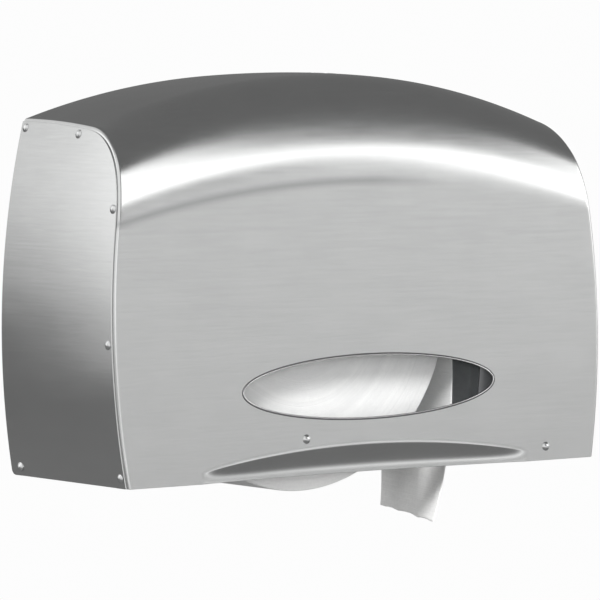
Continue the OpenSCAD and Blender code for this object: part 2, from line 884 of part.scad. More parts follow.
module tear_bar_rivets() {
    color(steel)
    from_screws()
    for (p = [[bar_left_x, bar_left_z], [bar_right_x, bar_right_z]])
        on_front(p.x, p.y, 0.02)
        rivet(sheet_t + skin_gap + bar_t + 0.1);
}

// ---------------------------------------------------------------- lock

module at_lock() {
    translate([lock_x, -lock_y, lock_top])
    rotate([-lock_dip, lock_tilt, 0])
    translate([0, 0, -lock_top])
    children();
}

plug_d = barrel_d - 6;
module lock_barrel() {
    color("silver")
    from_screws()
    at_lock()
    difference() {
        union() {
            translate([0, 0, lock_top - barrel_l])
            cylinder(d = barrel_d, h = barrel_l + 0.1);
            translate([0, 0, lock_top + 0.05])
            cylinder(d = barrel_d + 4, h = barrel_flange_t);
        }
        translate([0, 0, lock_top - barrel_l - 1])
        cylinder(d = plug_d + 2 * run_gap, h = barrel_l + 3);
    }
}

module lock_nut() {
    color(zinc)
    from_screws()
    at_lock()
    translate([0, 0, lock_nut_z])
    difference() {
        cylinder(d = barrel_d + 6, h = lock_nut_h, $fn = 6);
        translate([0, 0, -1])
        cylinder(d = barrel_d + 0.1, h = lock_nut_h + 2);
    }
}

// The plug has a plain slot for its key and ends in a stem that carries the cam.
module lock_plug() {
    color("silver")
    from_screws()
    at_lock()
    difference() {
        translate([0, 0, lock_top - barrel_l - 0.2])
        cylinder(d = plug_d, h = barrel_l + 0.2 + barrel_flange_t);
        translate([-4, -1, lock_top + barrel_flange_t - 8])
        cube([8, 2, 10]);
        translate([0, 0, cam_z])
        cylinder(d = 3.1, h = 10);
    }
}

module lock_cam() {
    color(zinc)
    from_screws()
    at_lock()
    translate([0, 0, cam_z])
    difference() {
        union() {
            cylinder(d = cam_w, h = cam_t);
            translate([-cam_w / 2, 0, 0])
            cube([cam_w, cam_l, cam_t]);
        }
        translate([0, 0, -1])
        cylinder(d = 3.1, h = cam_t + 2);
    }
}

module cam_screw() {
    color(zinc)
    from_screws()
    at_lock()
    union() {
        translate([0, 0, cam_z - cam_screw_h])
        cylinder(d = cam_screw_d, h = cam_screw_h);
        translate([0, 0, cam_z - eps])
        cylinder(d = 3, h = cam_t + 6);
    }
}

// The catch stands behind the cam's path: its lip has a slot that the barrel leaves through.
module catch_bracket() {
    color(zinc)
    from_screws()
    difference() {
        union() {
            translate([catch_x - catch_w / 2, plate_face - catch_t, catch_z - catch_foot_h])
            cube([catch_w, catch_t, catch_foot_h]);
            translate([catch_x - catch_w / 2, -catch_y - catch_t, catch_z - catch_t])
            cube([catch_w, catch_y + catch_t + plate_face, catch_t]);
            translate([catch_x - catch_w / 2, -catch_y - catch_t, catch_z - catch_t])
            cube([catch_w, catch_t, catch_lip_h]);
        }
        translate([catch_x - catch_slot_w / 2, -catch_y - catch_t - 1, catch_z])
        cube([catch_slot_w, catch_t + 2, catch_lip_h + 10]);
        for (p = catch_rivet_at)
            translate([p.x, 1, p.y])
            rotate([90, 0, 0])
            cylinder(d = shank_d + 2 * panel_hole_gap, h = 8);
    }
}

module catch_rivets() {
    color(zinc)
    from_screws()
    for (p = catch_rivet_at)
        plate_rivet(p.x, p.y, catch_t);
}

back_plate();
left_hinge_bracket();
right_hinge_bracket();
bracket_rivets();
hinge_washers();
roll_axle();
roll_axle_rivets();
roll_washer();
roll_nut();
stub_axle();
stub_axle_rivets();
stub_washer();
stub_nut();
catch_bracket();
catch_rivets();
paper_tail();
cover_wrap();
left_side_panel();
right_side_panel();
left_panel_rivets();
right_panel_rivets();
hinge_pins();
window_lens();
window_ring();
tear_bar();
tear_bar_rivets();
lock_barrel();
lock_nut();
lock_plug();
lock_cam();
cam_screw();
roll_spindle();
jumbo_roll();
stub_spindle();
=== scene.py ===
"""Looks of a wall dispenser for a jumbo toilet roll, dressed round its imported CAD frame.

Forms are worked out in millimetres from the middle of the cover's bottom edge at the wall
(X right, Y to the wall, Z up), as the part's source does, and lowered by SCREW_Z and scaled
to metres when they become meshes. The CAD nodes that stay only get finishes.
"""

import json
import logging
import math
from collections.abc import Sequence
from dataclasses import dataclass, field, fields
from enum import Enum

import bpy
import numpy as np
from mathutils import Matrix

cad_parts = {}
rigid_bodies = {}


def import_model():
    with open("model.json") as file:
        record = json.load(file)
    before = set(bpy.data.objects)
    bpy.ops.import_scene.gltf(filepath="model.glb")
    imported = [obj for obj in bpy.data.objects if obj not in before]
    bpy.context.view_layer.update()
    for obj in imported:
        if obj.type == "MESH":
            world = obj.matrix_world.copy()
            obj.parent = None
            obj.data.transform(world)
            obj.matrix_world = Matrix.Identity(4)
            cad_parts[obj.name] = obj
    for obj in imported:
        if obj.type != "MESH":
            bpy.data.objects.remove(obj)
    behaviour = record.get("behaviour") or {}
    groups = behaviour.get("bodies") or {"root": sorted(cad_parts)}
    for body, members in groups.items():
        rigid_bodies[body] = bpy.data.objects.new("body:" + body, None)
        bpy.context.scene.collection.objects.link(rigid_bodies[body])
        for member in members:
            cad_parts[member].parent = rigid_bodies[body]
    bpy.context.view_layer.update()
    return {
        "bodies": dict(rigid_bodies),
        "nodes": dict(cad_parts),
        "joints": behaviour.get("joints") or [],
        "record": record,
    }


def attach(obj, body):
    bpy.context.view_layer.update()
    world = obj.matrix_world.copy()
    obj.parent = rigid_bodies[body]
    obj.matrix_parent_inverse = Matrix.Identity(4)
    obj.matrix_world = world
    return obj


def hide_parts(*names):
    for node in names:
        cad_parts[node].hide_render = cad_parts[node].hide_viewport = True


LOG = logging.getLogger("dispenser")
MM = 0.001
SCREW_Z = 115.0
SHARP_ANGLE = math.radians(42)

Array = np.ndarray


# ------------------------------------------------------------------ meshes from arrays


@dataclass
class Shape:
    """A surface in millimetres: its points and its faces, quads and triangles apart."""

    points: Array
    quads: Array = field(default_factory=lambda: np.zeros((0, 4), int))
    tris: Array = field(default_factory=lambda: np.zeros((0, 3), int))

    def flipped(self) -> "Shape":
        """Returns the shape with its faces turned over."""
        return Shape(self.points, self.quads[:, ::-1], self.tris[:, ::-1])

    def mirrored(self) -> "Shape":
        """Returns the shape mirrored in the YZ plane, with its faces still outwards."""
        return Shape(self.points * [-1, 1, 1], self.quads[:, ::-1], self.tris[:, ::-1])

    def _corners(self) -> Array:
        """Returns the corners of all faces as triangles, as an (n, 3, 3) array."""
        halves = np.concatenate([self.quads[:, [0, 1, 2]], self.quads[:, [0, 2, 3]], self.tris])
        return self.points[halves]

    def outward(self) -> "Shape":
        """Returns a closed shape with its faces outwards: six times its volume is the sum of
        a . (b x c) over its triangles, and it is turned over where that is negative."""
        a, b, c = self._corners().transpose(1, 0, 2)
        return self if np.einsum("ij,ij->", a, np.cross(b, c)) > 0 else self.flipped()

    def facing(self, direction: Sequence[float]) -> "Shape":
        """Returns an open shape whose summed face normals lean towards a direction."""
        a, b, c = self._corners().transpose(1, 0, 2)
        return self if np.cross(b - a, c - a).sum(0) @ np.array(direction) > 0 else self.flipped()

    def thickened(self, thickness: float, round_out: float = 0.18, steps: int = 5,
                  slimmest: float = 0.6) -> "Shape":
        """Turns a sheet of quads into a solid wall behind its faces, with rounded edges.

        Each inner point is P - n t / (n . f), where n is the mean of the normals f of the faces
        round P. Along each free edge the wall closes on a half ellipse,
        P - n (t / 2) (1 - cos a) + m b sin a, where m points off the sheet.

        Args:
            thickness: The wall t, in millimetres.
            round_out: How far b the rounded edge stands off the sheet's edge.
            steps: Rows of faces round the edge.
            slimmest: Least n . f that counts, so that sharp folds don't throw points far off.

        Returns:
            The closed shape.
        """
        count = len(self.points)
        a, b, c, d = (self.points[self.quads[:, k]] for k in range(4))
        face = np.cross(c - a, d - b)
        face /= np.linalg.norm(face, axis=1, keepdims=True)
        normal, spread, share = np.zeros((count, 3)), np.zeros(count), np.zeros(count)
        for k in range(4):
            np.add.at(normal, self.quads[:, k], face)
        normal /= np.linalg.norm(normal, axis=1, keepdims=True)
        for k in range(4):
            corner = self.quads[:, k]
            np.add.at(spread, corner, np.einsum("ij,ij->i", normal[corner], face))
            np.add.at(share, corner, 1.0)
        depth = normal * (thickness / np.clip(spread / share, slimmest, 1.0))[:, None]
        start = self.quads.ravel()
        end = np.roll(self.quads, -1, axis=1).ravel()
        free = ~np.isin(start * count + end, end * count + start)
        start, end, off = start[free], end[free], np.repeat(face, 4, axis=0)[free]
        along = self.points[end] - self.points[start]
        along /= np.linalg.norm(along, axis=1, keepdims=True)
        away = np.zeros((count, 3))
        np.add.at(away, start, np.cross(along, off))
        np.add.at(away, end, np.cross(along, off))
        rim = np.unique(start)
        away = away[rim] / np.linalg.norm(away[rim], axis=1, keepdims=True)
        turn = (np.arange(1, steps) * np.pi / steps)[:, None, None]
        rows = (self.points[rim] - depth[rim] * (1 - np.cos(turn)) / 2
                + away * round_out * np.sin(turn))
        place = np.zeros((steps + 1, count), int)
        place[0], place[steps] = np.arange(count), count + np.arange(count)
        place[1:steps, rim] = 2 * count + np.arange((steps - 1) * len(rim)).reshape(steps - 1, -1)
        edge = np.stack([place[:-1, end], place[:-1, start], place[1:, start], place[1:, end]], -1)
        return Shape(np.concatenate([self.points, self.points - depth, rows.reshape(-1, 3)]),
                     np.concatenate([self.quads, self.quads[:, ::-1] + count, edge.reshape(-1, 4)]))


def joined(shapes: Sequence[Shape]) -> Shape:
    """Returns several shapes as one, with their faces renumbered."""
    starts = np.cumsum([0] + [len(s.points) for s in shapes[:-1]])
    return Shape(
        np.concatenate([s.points for s in shapes]),
        np.concatenate([s.quads + k for s, k in zip(shapes, starts)]),
        np.concatenate([s.tris + k for s, k in zip(shapes, starts)]),
    )


def grid_quads(index: Array) -> Array:
    """Returns the quads between the neighbours of a 2-D array of point numbers."""
    corners = [index[:-1, :-1], index[:-1, 1:], index[1:, 1:], index[1:, :-1]]
    return np.stack(corners, -1).reshape(-1, 4)


def surface(points: Array) -> Shape:
    """Returns the shape of a (rows, columns, 3) array of points."""
    rows, cols = points.shape[:2]
    return Shape(points.reshape(-1, 3), grid_quads(np.arange(rows * cols).reshape(rows, cols)))


def axes_along(direction: Sequence[float]) -> Array:
    """Returns a turned frame as a 3x3 matrix whose columns are two sides and the direction."""
    w = np.array(direction, float) / np.linalg.norm(direction)
    side = np.cross([0.0, 0.0, 1.0] if abs(w[2]) < 0.9 else [0.0, 1.0, 0.0], w)
    side /= np.linalg.norm(side)
    return np.column_stack([side, np.cross(w, side), w])


def turned(profile: Sequence[Sequence[float]], at: Sequence[float], direction: Sequence[float],
           around: int = 40) -> Shape:
    """Turns a profile about an axis: P(k, t) = at + r_k (cos t, sin t, 0) + (0, 0, h_k).

    Args:
        profile: [radius, height] pairs; a radius of 0 at either end closes a pole, and a
            profile that starts and ends at one pair closes on itself.
        at: Foot of the axis.
        direction: Direction of the axis.
        around: Number of points round the axis.

    Returns:
        The closed shape, faces outwards.
    """
    rh = np.array(profile, float)
    poles = [rh[0] if rh[0, 0] == 0 else None, rh[-1] if rh[-1, 0] == 0 else None]
    ring = rh[(1 if poles[0] is not None else 0):(-1 if poles[1] is not None else None)]
    loop = bool(np.allclose(ring[0], ring[-1])) and all(pole is None for pole in poles)
    ring = ring[:-1] if loop else ring
    t = np.arange(around) * 2 * np.pi / around
    local = np.stack([ring[:, :1] * np.cos(t), ring[:, :1] * np.sin(t),
                      np.repeat(ring[:, 1:], around, 1)], -1).reshape(-1, 3)
    index = np.arange(len(local)).reshape(len(ring), around)
    index = np.concatenate([index, index[:, :1]], 1)
    quads = grid_quads(np.concatenate([index, index[:1]]) if loop else index)
    tris = []
    for pole, row in zip(poles, (index[0], index[-1])):
        if pole is not None:
            tris.append(np.stack([np.full(around, len(local)), row[1:], row[:-1]], 1))
            local = np.concatenate([local, [[0, 0, pole[1]]]])
    if len(tris) == 2:
        tris[1] = tris[1][:, ::-1]
    shape = Shape(local @ axes_along(direction).T + np.array(at, float), quads,
                  np.concatenate(tris) if tris else np.zeros((0, 3), int))
    return shape.outward()


def inside_mark(face: Shape, wall: Shape) -> Array:
    """Returns 1 at the points of a thickened face's inner side, and 0 at its others."""
    count = len(face.points)
    place = np.arange(len(wall.points))
    return ((place >= count) & (place < 2 * count)).astype(float)


def make_piece(name: str, shape: Shape, thickness: float = 0.0,
               marks: dict[str, Array] | None = None) -> bpy.types.Object:
    """Makes a smooth-shaded piece of a shape, with its place in its mesh.

    Args:
        name: The piece's name.
        shape: The shape, in millimetres.
        thickness: Wall that Solidify adds, half on each side of the faces, in millimetres.
        marks: Values per point by name, which a finish reads as attributes.

    Returns:
        The new object.
    """
    mesh = bpy.data.meshes.new(name)
    points = (shape.points - [0.0, 0.0, SCREW_Z]) * MM
    mesh.from_pydata(points.tolist(), [], shape.quads.tolist() + shape.tris.tolist())
    mesh.polygons.foreach_set("use_smooth", np.ones(len(mesh.polygons), bool))
    mesh.update()
    mesh.set_sharp_from_angle(angle=SHARP_ANGLE)
    piece = bpy.data.objects.new(name, mesh)
    bpy.context.scene.collection.objects.link(piece)
    if thickness:
        wall = piece.modifiers.new("wall", "SOLIDIFY")
        wall.thickness, wall.offset, wall.use_even_offset = thickness * MM, 0.0, True
    for key, values in (marks or {}).items():
        mark = mesh.attributes.new(key, "FLOAT", "POINT")
        mark.data.foreach_set("value", values.astype(np.float32))
    return piece


# ------------------------------------------------------------------ shader maths


class Value:
    """A value in a shader graph, with the arithmetic that adds Math nodes."""

    def __init__(self, graph: "ShaderGraph", socket: bpy.types.NodeSocket) -> None:
        """Wraps an output socket of a graph."""
        self.graph = graph
        self.socket = socket

    def _math(self, operation: str, first: object, second: object) -> "Value":
        """Returns a Math node's result."""
        return self.graph.add("ShaderNodeMath", {"operation": operation}, {0: first, 1: second})

    def __add__(self, other: object) -> "Value":
        """Returns self + other."""
        return self._math("ADD", self, other)

    def __sub__(self, other: object) -> "Value":
        """Returns self - other."""
        return self._math("SUBTRACT", self, other)

    def __rsub__(self, other: object) -> "Value":
        """Returns other - self."""
        return self._math("SUBTRACT", other, self)

    def __mul__(self, other: object) -> "Value":
        """Returns self * other."""
        return self._math("MULTIPLY", self, other)

    def __truediv__(self, other: object) -> "Value":
        """Returns self / other."""
        return self._math("DIVIDE", self, other)

    def __pow__(self, other: object) -> "Value":
        """Returns self to the power of other."""
        return self._math("POWER", self, other)

    def __gt__(self, other: object) -> "Value":
        """Returns 1 where self is above other, and else 0."""
        return self._math("GREATER_THAN", self, other)

    __radd__ = __add__
    __rmul__ = __mul__


class ShaderGraph:
    """The nodes of one material or of the world."""

    def __init__(self, owner: bpy.types.Material | bpy.types.World) -> None:
        """Empties the owner's node tree."""
        owner.use_nodes = True
        self.tree = owner.node_tree
        self.tree.nodes.clear()

    def add(self, kind: str, settings: dict | None = None, inputs: dict | None = None,
            output: int | str = 0) -> Value:
        """Adds a node.

        Args:
            kind: The node's type.
            settings: Its properties, set first.
            inputs: Values or links of its sockets, by name or number.
            output: The output that is returned.

        Returns:
            The output as a Value.
        """
        node = self.tree.nodes.new(kind)
        for key, value in (settings or {}).items():
            setattr(node, key, value)
        for key, value in (inputs or {}).items():
            if isinstance(value, Value):
                self.tree.links.new(value.socket, node.inputs[key])
            else:
                node.inputs[key].default_value = value
        return Value(self, node.outputs[output] if len(node.outputs) else None)

    def place(self) -> Value:
        """Returns the object coordinates, in metres."""
        return self.add("ShaderNodeTexCoord", output="Object")

    def vector(self, operation: str, first: Value, second: Sequence[float] = (0.0, 0.0, 0.0),
               output: str = "Vector") -> Value:
        """Returns a Vector Math node's result."""
        return self.add("ShaderNodeVectorMath", {"operation": operation},
                        {0: first, 1: tuple(second)}, output)

    def scaled(self, vector: Value, by: Sequence[float]) -> Value:
        """Returns a vector times another, one number at a time."""
        return self.vector("MULTIPLY", vector, by)

    def mark(self, name: str) -> Value:
        """Returns a value that the piece's points carry, 0 where they carry none."""
        return self.add("ShaderNodeAttribute", {"attribute_name": name}, output="Fac")

    def noise(self, vector: Value, detail: float = 2.0, roughness: float = 0.5,
              scale: float = 1.0) -> Value:
        """Returns smooth noise from 0 to 1 at a vector."""
        return self.add("ShaderNodeTexNoise", None, {"Vector": vector, "Scale": scale,
                                                     "Detail": detail, "Roughness": roughness})

    def between(self, value: Value, low: float, high: float, start: float = 0.0,
                end: float = 1.0) -> Value:
        """Returns a smooth run from start to end as the input goes from low to high."""
        return self.add("ShaderNodeMapRange", {"interpolation_type": "SMOOTHSTEP"},
                        {0: value, 1: low, 2: high, 3: start, 4: end})

    def mixed(self, factor: Value, first: Sequence[float] | Value,
              second: Sequence[float] | Value) -> Value:
        """Returns a colour between two colours; a plain one gets its alpha here."""
        first, second = (c if isinstance(c, Value) else (*c, 1.0) for c in (first, second))
        return self.add("ShaderNodeMix", {"data_type": "RGBA"},
                        {0: factor, 6: first, 7: second}, output=2)

    def bump(self, height: Value, strength: float, distance: float) -> Value:
        """Returns the normal that a height gives."""
        return self.add("ShaderNodeBump", None,
                        {"Height": height, "Strength": strength, "Distance": distance})

    def surface(self, **inputs: object) -> None:
        """Ends the graph in a Principled shader with these sockets, _ standing for a space."""
        shader = self.add("ShaderNodeBsdfPrincipled", None,
                          {key.replace("_", " "): value for key, value in inputs.items()})
        self.add("ShaderNodeOutputMaterial", None, {"Surface": shader})


# ------------------------------------------------------------------ finishes


class Finish:
    """A procedural finish: material() makes the graph that paint() fills."""

    def material(self, name: str) -> bpy.types.Material:
        """Returns the finish as a material."""
        made = bpy.data.materials.new(name)
        graph = ShaderGraph(made)
        self.paint(graph, graph.place())
        return made

    def paint(self, g: ShaderGraph, place: Value) -> None:
        """Adds the finish's nodes, at the object coordinates."""
        raise NotImplementedError


class Grain(Enum):
    """Which way the finish's fine scratches run, as the stretch of its noise along X, Y and Z."""

    ACROSS_WRAP = (0.03, 1.0, 1.0)
    ALONG_WALLS = (0.05, 0.03, 1.0)


@dataclass(frozen=True)
class BrushedSteel(Finish):
    """Stainless sheet with a fine one-way grain over a faintly cloudy roll surface, a line of
    painted shade along the fold at the corner's foot, and painted shade on its rougher inside."""

    grain: Grain
    light: tuple[float, float, float] = (0.62, 0.625, 0.622)
    dark: tuple[float, float, float] = (0.58, 0.585, 0.583)
    # fold: painted shade, a darker line in the reflection along the foot of the corner's bend.
    fold: tuple[float, float, float] = (0.42, 0.425, 0.425)
    # back: painted shade, the dark colour of the inner faces standing for the unlit inside of the
    # cover.
    back: tuple[float, float, float] = (0.24, 0.24, 0.245)
    roughness: float = 0.20
    scratch: float = 0.02
    fine_scale: float = 3200.0
    line_scale: float = 700.0
    cloud_scale: tuple[float, float] = (24.0, 30.0)

    def paint(self, g: ShaderGraph, place: Value) -> None:
        """Adds the finish's nodes."""
        grain, (base, extra) = self.grain.value, self.cloud_scale
        fine = g.noise(g.scaled(place, [self.fine_scale * k for k in grain]), 2.0, 0.6)
        lines = g.noise(g.scaled(place, [self.line_scale * k for k in grain]), 3.0, 0.55)
        cloud = g.noise(g.scaled(place, [base + extra * k for k in grain]), 3.0, 0.6)
        tone = g.between(fine * 0.45 + lines * 0.3 + cloud * 0.25, 0.34, 0.66)
        # Painted shade: the fold mark darkens the outer face along the corner's foot, and the
        # inside mark darkens the inner faces.
        inside = g.mark("inside")
        outside = g.mixed(g.mark("fold"), g.mixed(tone, self.dark, self.light), self.fold)
        g.surface(
            Base_Color=g.mixed(inside, outside, self.back),
            Metallic=1.0,
            Roughness=(self.roughness + inside * 0.2 + (cloud - 0.5) * 0.04
                       + (lines - 0.5) * 0.04),
            Normal=g.bump(fine * 0.6 + lines * 0.7, self.scratch, 0.0004),
        )


@dataclass(frozen=True)
class PlainMetal(Finish):
    """Turned, plated or polished metal with a faint mottle and light handling marks."""

    light: tuple[float, float, float]
    dark: tuple[float, float, float]
    roughness: float
    mottle_size: float = 0.004
    pitting: float = 0.05

    def paint(self, g: ShaderGraph, place: Value) -> None:
        """Adds the finish's nodes."""
        mottle = g.noise(place, 4.0, 0.6, 1.0 / self.mottle_size)
        marks = g.noise(g.scaled(place, (900.0, 260.0, 900.0)), 3.0, 0.7)
        g.surface(
            Base_Color=g.mixed(g.between(mottle, 0.3, 0.7), self.dark, self.light),
            Metallic=1.0,
            Roughness=self.roughness + (mottle - 0.5) * 0.16 + (marks - 0.5) * 0.12,
            Normal=g.bump(marks * 0.5 + mottle, self.pitting, 0.0002),
        )


@dataclass(frozen=True)
class MouldedPlastic(Finish):
    """Plastic or foam with a spark-eroded texture and a slight cloudiness."""

    light: tuple[float, float, float]
    dark: tuple[float, float, float]
    roughness: float
    texture_size: float = 0.0006
    texture: float = 0.25

    def paint(self, g: ShaderGraph, place: Value) -> None:
        """Adds the finish's nodes."""
        cloud = g.noise(place, 3.0, 0.6, 70.0)
        texture = g.noise(place, 2.0, 0.6, 1.0 / self.texture_size)
        g.surface(
            Base_Color=g.mixed(g.between(cloud * 0.6 + texture * 0.4, 0.3, 0.7),
                               self.dark, self.light),
            Roughness=self.roughness + (cloud - 0.5) * 0.12,
            Normal=g.bump(texture, self.texture, 0.0003),
        )


@dataclass(frozen=True)
class ClearLens(Finish):
    """Clear plastic that lets most light through, with a faint haze of wiping marks."""

    tint: tuple[float, float, float] = (0.30, 0.32, 0.33)
    cover: float = 0.035

    def paint(self, g: ShaderGraph, place: Value) -> None:
        """Adds the finish's nodes."""
        wiped = g.noise(g.scaled(place, (60.0, 60.0, 900.0)), 3.0, 0.6)
        haze = g.noise(place, 3.0, 0.6, 30.0)
        g.surface(
            Base_Color=self.tint + (1.0,),
            Roughness=0.06 + g.between(wiped, 0.5, 0.8) * 0.10,
            Alpha=self.cover + g.between(haze, 0.35, 0.75) * 0.03,
            IOR=1.49,
        )


@dataclass(frozen=True)
class TissueWeb(Finish):
    """Creped tissue: fine creases across the web, loose fibres and thin places."""

    white: tuple[float, float, float] = (0.86, 0.86, 0.85)
    shade: tuple[float, float, float] = (0.76, 0.76, 0.755)
    creases: tuple[float, float, float] = (60.0, 25.0, 1500.0)

    def paint(self, g: ShaderGraph, place: Value) -> None:
        """Adds the finish's nodes."""
        crepe = g.noise(g.scaled(place, self.creases), 3.0, 0.6)
        fibre = g.noise(place, 4.0, 0.7, 420.0)
        g.surface(
            Base_Color=g.mixed(g.between(crepe * 0.5 + fibre * 0.5, 0.3, 0.65),
                               self.shade, self.white),
            Roughness=0.92 + (fibre - 0.5) * 0.1,
            Normal=g.bump(crepe * 0.7 + fibre * 0.5, 0.35, 0.0006),
            Sheen_Weight=0.15,
        )


@dataclass(frozen=True)
class WoundTissue(Finish):
    """The roll: thin rings on its flat faces, where the plies end, and crepe on its outside."""

    centre: tuple[float, float]
    radius: float
    white: tuple[float, float, float] = (0.81, 0.81, 0.80)
    shade: tuple[float, float, float] = (0.65, 0.65, 0.65)
    outside_t: float = 0.0006

    def paint(self, g: ShaderGraph, place: Value) -> None:
        """Adds the finish's nodes; r is the distance from the roll's axis, which drifts a
        little so that no ring is quite round."""
        centre = (self.centre[0], 0.0, self.centre[1])
        flat = g.scaled(g.vector("SUBTRACT", place, centre), (1.0, 0.0, 1.0))
        r = g.vector("LENGTH", flat, output="Value")
        drifted = r + g.noise(flat, 2.0, 0.5, 14.0) * 0.004
        rings = g.noise(g.add("ShaderNodeCombineXYZ", None, {0: drifted * 1400.0}), 3.0, 0.65)
        bands = g.noise(g.add("ShaderNodeCombineXYZ", None, {0: drifted * 140.0}), 2.0, 0.6)
        on_face = 1 - (r > self.radius - self.outside_t)
        crepe = g.noise(g.scaled(place, (700.0, 30.0, 700.0)), 3.0, 0.6)
        fibre = g.noise(place, 3.0, 0.7, 500.0)
        layers = on_face * (rings * 0.7 + bands * 0.6) + (1 - on_face) * (crepe + 0.15)
        g.surface(
            Base_Color=g.mixed(g.between(layers * 0.8 + fibre * 0.25, 0.38, 0.86),
                               self.shade, self.white),
            Roughness=0.93 + (fibre - 0.5) * 0.1,
            Normal=g.bump(layers + fibre * 0.3, 0.5, 0.0005),
            Sheen_Weight=0.1,
        )


def dress(piece: bpy.types.Object, material: bpy.types.Material) -> None:
    """Gives a piece or a CAD node one material on all its faces."""
    piece.data.materials.clear()
    piece.data.materials.append(material)


def mount(piece: bpy.types.Object, finish: bpy.types.Material, body: str,
          node: str | None = None) -> bpy.types.Object:
    """Dresses a piece and lets it ride on a body.

    Args:
        piece: The piece.
        finish: Its material.
        body: The body that it moves with.
        node: The CAD node that it stands for, if any.

    Returns:
        The piece.
    """
    dress(piece, finish)
    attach(piece, body)
    if node:
        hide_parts(node)
    return piece


# ------------------------------------------------------------------ cover


@dataclass(frozen=True)
class CoverForm:
    """The cover's outline: bowed side walls, an arched top, a rounded corner, a leaning front."""

    base_w: float = 370.0
    top_w: float = 352.0
    side_bow: float = 11.9
    corner_h: float = 222.0
    arch_rise: float = 34.0
    wall_rise: float = 26.5
    depth: float = 125.0
    lean: float = math.radians(2.2)
    top_r: float = 700.0
    corner_r: float = 47.0
    ease_r: float = 90.0
    ease_a: float = math.radians(18)
    low_arch: float = 0.68
    wall_gap: float = 0.5
    sheet_t: float = 1.0
    bend_r: float = 1.8
    flange_w: float = 12.0
    hem_w: float = 10.0
    edge_in: float = 2.0

    @property
    def side_arc(self) -> tuple[float, float, float]:
        """Returns the side wall's arc as its centre's x and z and its radius: it passes through
        the foot, the bow and the top corner."""
        chord = np.array([(self.top_w - self.base_w) / 2, self.corner_h])
        length = float(np.hypot(*chord))
        radius = (length**2 / 4 + self.side_bow**2) / (2 * self.side_bow)
        across = np.array([chord[1], -chord[0]]) / length
        x, z = np.array([self.base_w / 2, 0.0]) + chord / 2 - (radius - self.side_bow) * across
        return float(x), float(z), radius

    def side_x(self, z: Array | float) -> Array | float:
        """Returns the side wall's x at a height: c + sqrt(r^2 - (z - c_z)^2)."""
        x, mid, radius = self.side_arc
        return x + np.sqrt(radius**2 - (z - mid) ** 2)

    def side_tilt(self, z: Array | float) -> Array | float:
        """Returns how far the side wall looks upwards at a height, in radians."""
        _, mid, radius = self.side_arc
        return np.arcsin((z - mid) / radius)

    def rise(self, u: Array, y: Array) -> Array:
        """Returns the arch's height over the corners: a circle's cap over u from -1 to 1, lower
        at the wall than at the front."""
        radius = (self.top_w**2 / 4 + self.arch_rise**2) / (2 * self.arch_rise)
        cap = np.sqrt(radius**2 - (u * self.top_w / 2) ** 2) - (radius - self.arch_rise)
        return cap * (1 - (1 - self.wall_rise / self.arch_rise) * (1 + y / self.depth))

    @property
    def corner_angles(self) -> tuple[float, float, float]:
        """Returns the outline's turning angles where the top, the corner and the front begin."""
        reach = self.ease_r - (self.ease_r - self.corner_r) * math.cos(self.ease_a)
        start = math.asin((self.depth * math.cos(self.lean) + (self.top_r - self.corner_h)
                           * math.sin(self.lean) - reach) / (self.top_r - self.corner_r))
        return math.asin(self.wall_gap / self.top_r), start - self.lean, math.pi / 2 - self.lean

    @staticmethod
    def _spoke(radius: float, angle: float) -> Array:
        """Returns [y, z] at a radius and a turning angle."""
        return radius * np.array([-math.sin(angle), math.cos(angle)])

    def outline(self, angle: Array, inset: float = 0.0) -> Array:
        """Returns [y, z] at a turning angle, inset from the sheet: C + (r - inset) (-sin, cos)
        on three arcs that meet without a kink, the top, the corner and its wide lower part."""
        _, turn, last = self.corner_angles
        ease = last - self.ease_a
        look = np.stack([-np.sin(angle), np.cos(angle)], -1)
        top_centre = np.array([0.0, self.corner_h - self.top_r])
        corner = top_centre + self._spoke(self.top_r - self.corner_r, turn)
        lower = corner - self._spoke(self.ease_r - self.corner_r, ease)
        below = np.where((angle < ease)[..., None], corner + (self.corner_r - inset) * look,
                         lower + (self.ease_r - inset) * look)
        return np.where((angle < turn)[..., None], top_centre + (self.top_r - inset) * look, below)

    def lift_share(self, angle: Array) -> Array:
        """Returns the share of the arch's rise at a turning angle: 1 - (1 - k) t^2, t from 0 to
        1 down the corner."""
        _, turn, last = self.corner_angles
        return 1 - (1 - self.low_arch) * (np.maximum(angle - turn, 0) / (last - turn)) ** 2

    def front_y(self, z: Array | float) -> Array | float:
        """Returns the front face's y at a height."""
        return -self.depth + math.tan(self.lean) * z

    def top_z(self, y: float) -> float:
        """Returns the height of the side walls' top at a distance from the wall."""
        return self.corner_h - self.top_r + math.sqrt(self.top_r**2 - y * y)


@dataclass(frozen=True)
class Scoop:
    """The pressed scoop along the bottom: a bowed crease, and the sheet drawn in below it."""

    width: float = 258.0
    crown: float = 18.0
    end_height: float = 7.0
    pressed_in: float = 10.0
    softness: float = 0.10
    fullness: float = 2.5

    def share(self, x: Array) -> Array:
        """Returns 1 at the middle and 0 at the ends: 1 - (2 x / w)^2."""
        return np.maximum(0.0, 1 - (2 * x / self.width) ** 2)

    def crease(self, x: Array) -> Array:
        """Returns the crease's height."""
        return self.end_height + (self.crown - self.end_height) * self.share(x)

    def depth(self, x: Array, s: Array) -> Array:
        """Returns how far the sheet is pressed in at s, from 0 at the crease to 1 at the lip:
        1 - (1 - e)^f, where e = s^2 (1 + k) / (s + k) rounds the crease over."""
        e = s**2 * (1 + self.softness) / (s + self.softness)
        return self.pressed_in * self.share(x) * (1 - np.maximum(1 - e, 0) ** self.fullness)


@dataclass(frozen=True)
class Window:
    """The oval window in the front."""

    width: float = 200.0
    height: float = 40.5
    x: float = 3.0
    z: float = 54.0
    rings: int = 7

    def edge(self, x: Array, z: Array, half_w: float, half_h: float) -> tuple[Array, Array]:
        """Returns the oval's point on the same scaled bearing as each given point: the bearing
        is atan2((z - z0) / half_h, (x - x0) / half_w)."""
        t = np.arctan2((z - self.z) / half_h, (x - self.x) / half_w)
        return self.x + self.width / 2 * np.cos(t), self.z + self.height / 2 * np.sin(t)


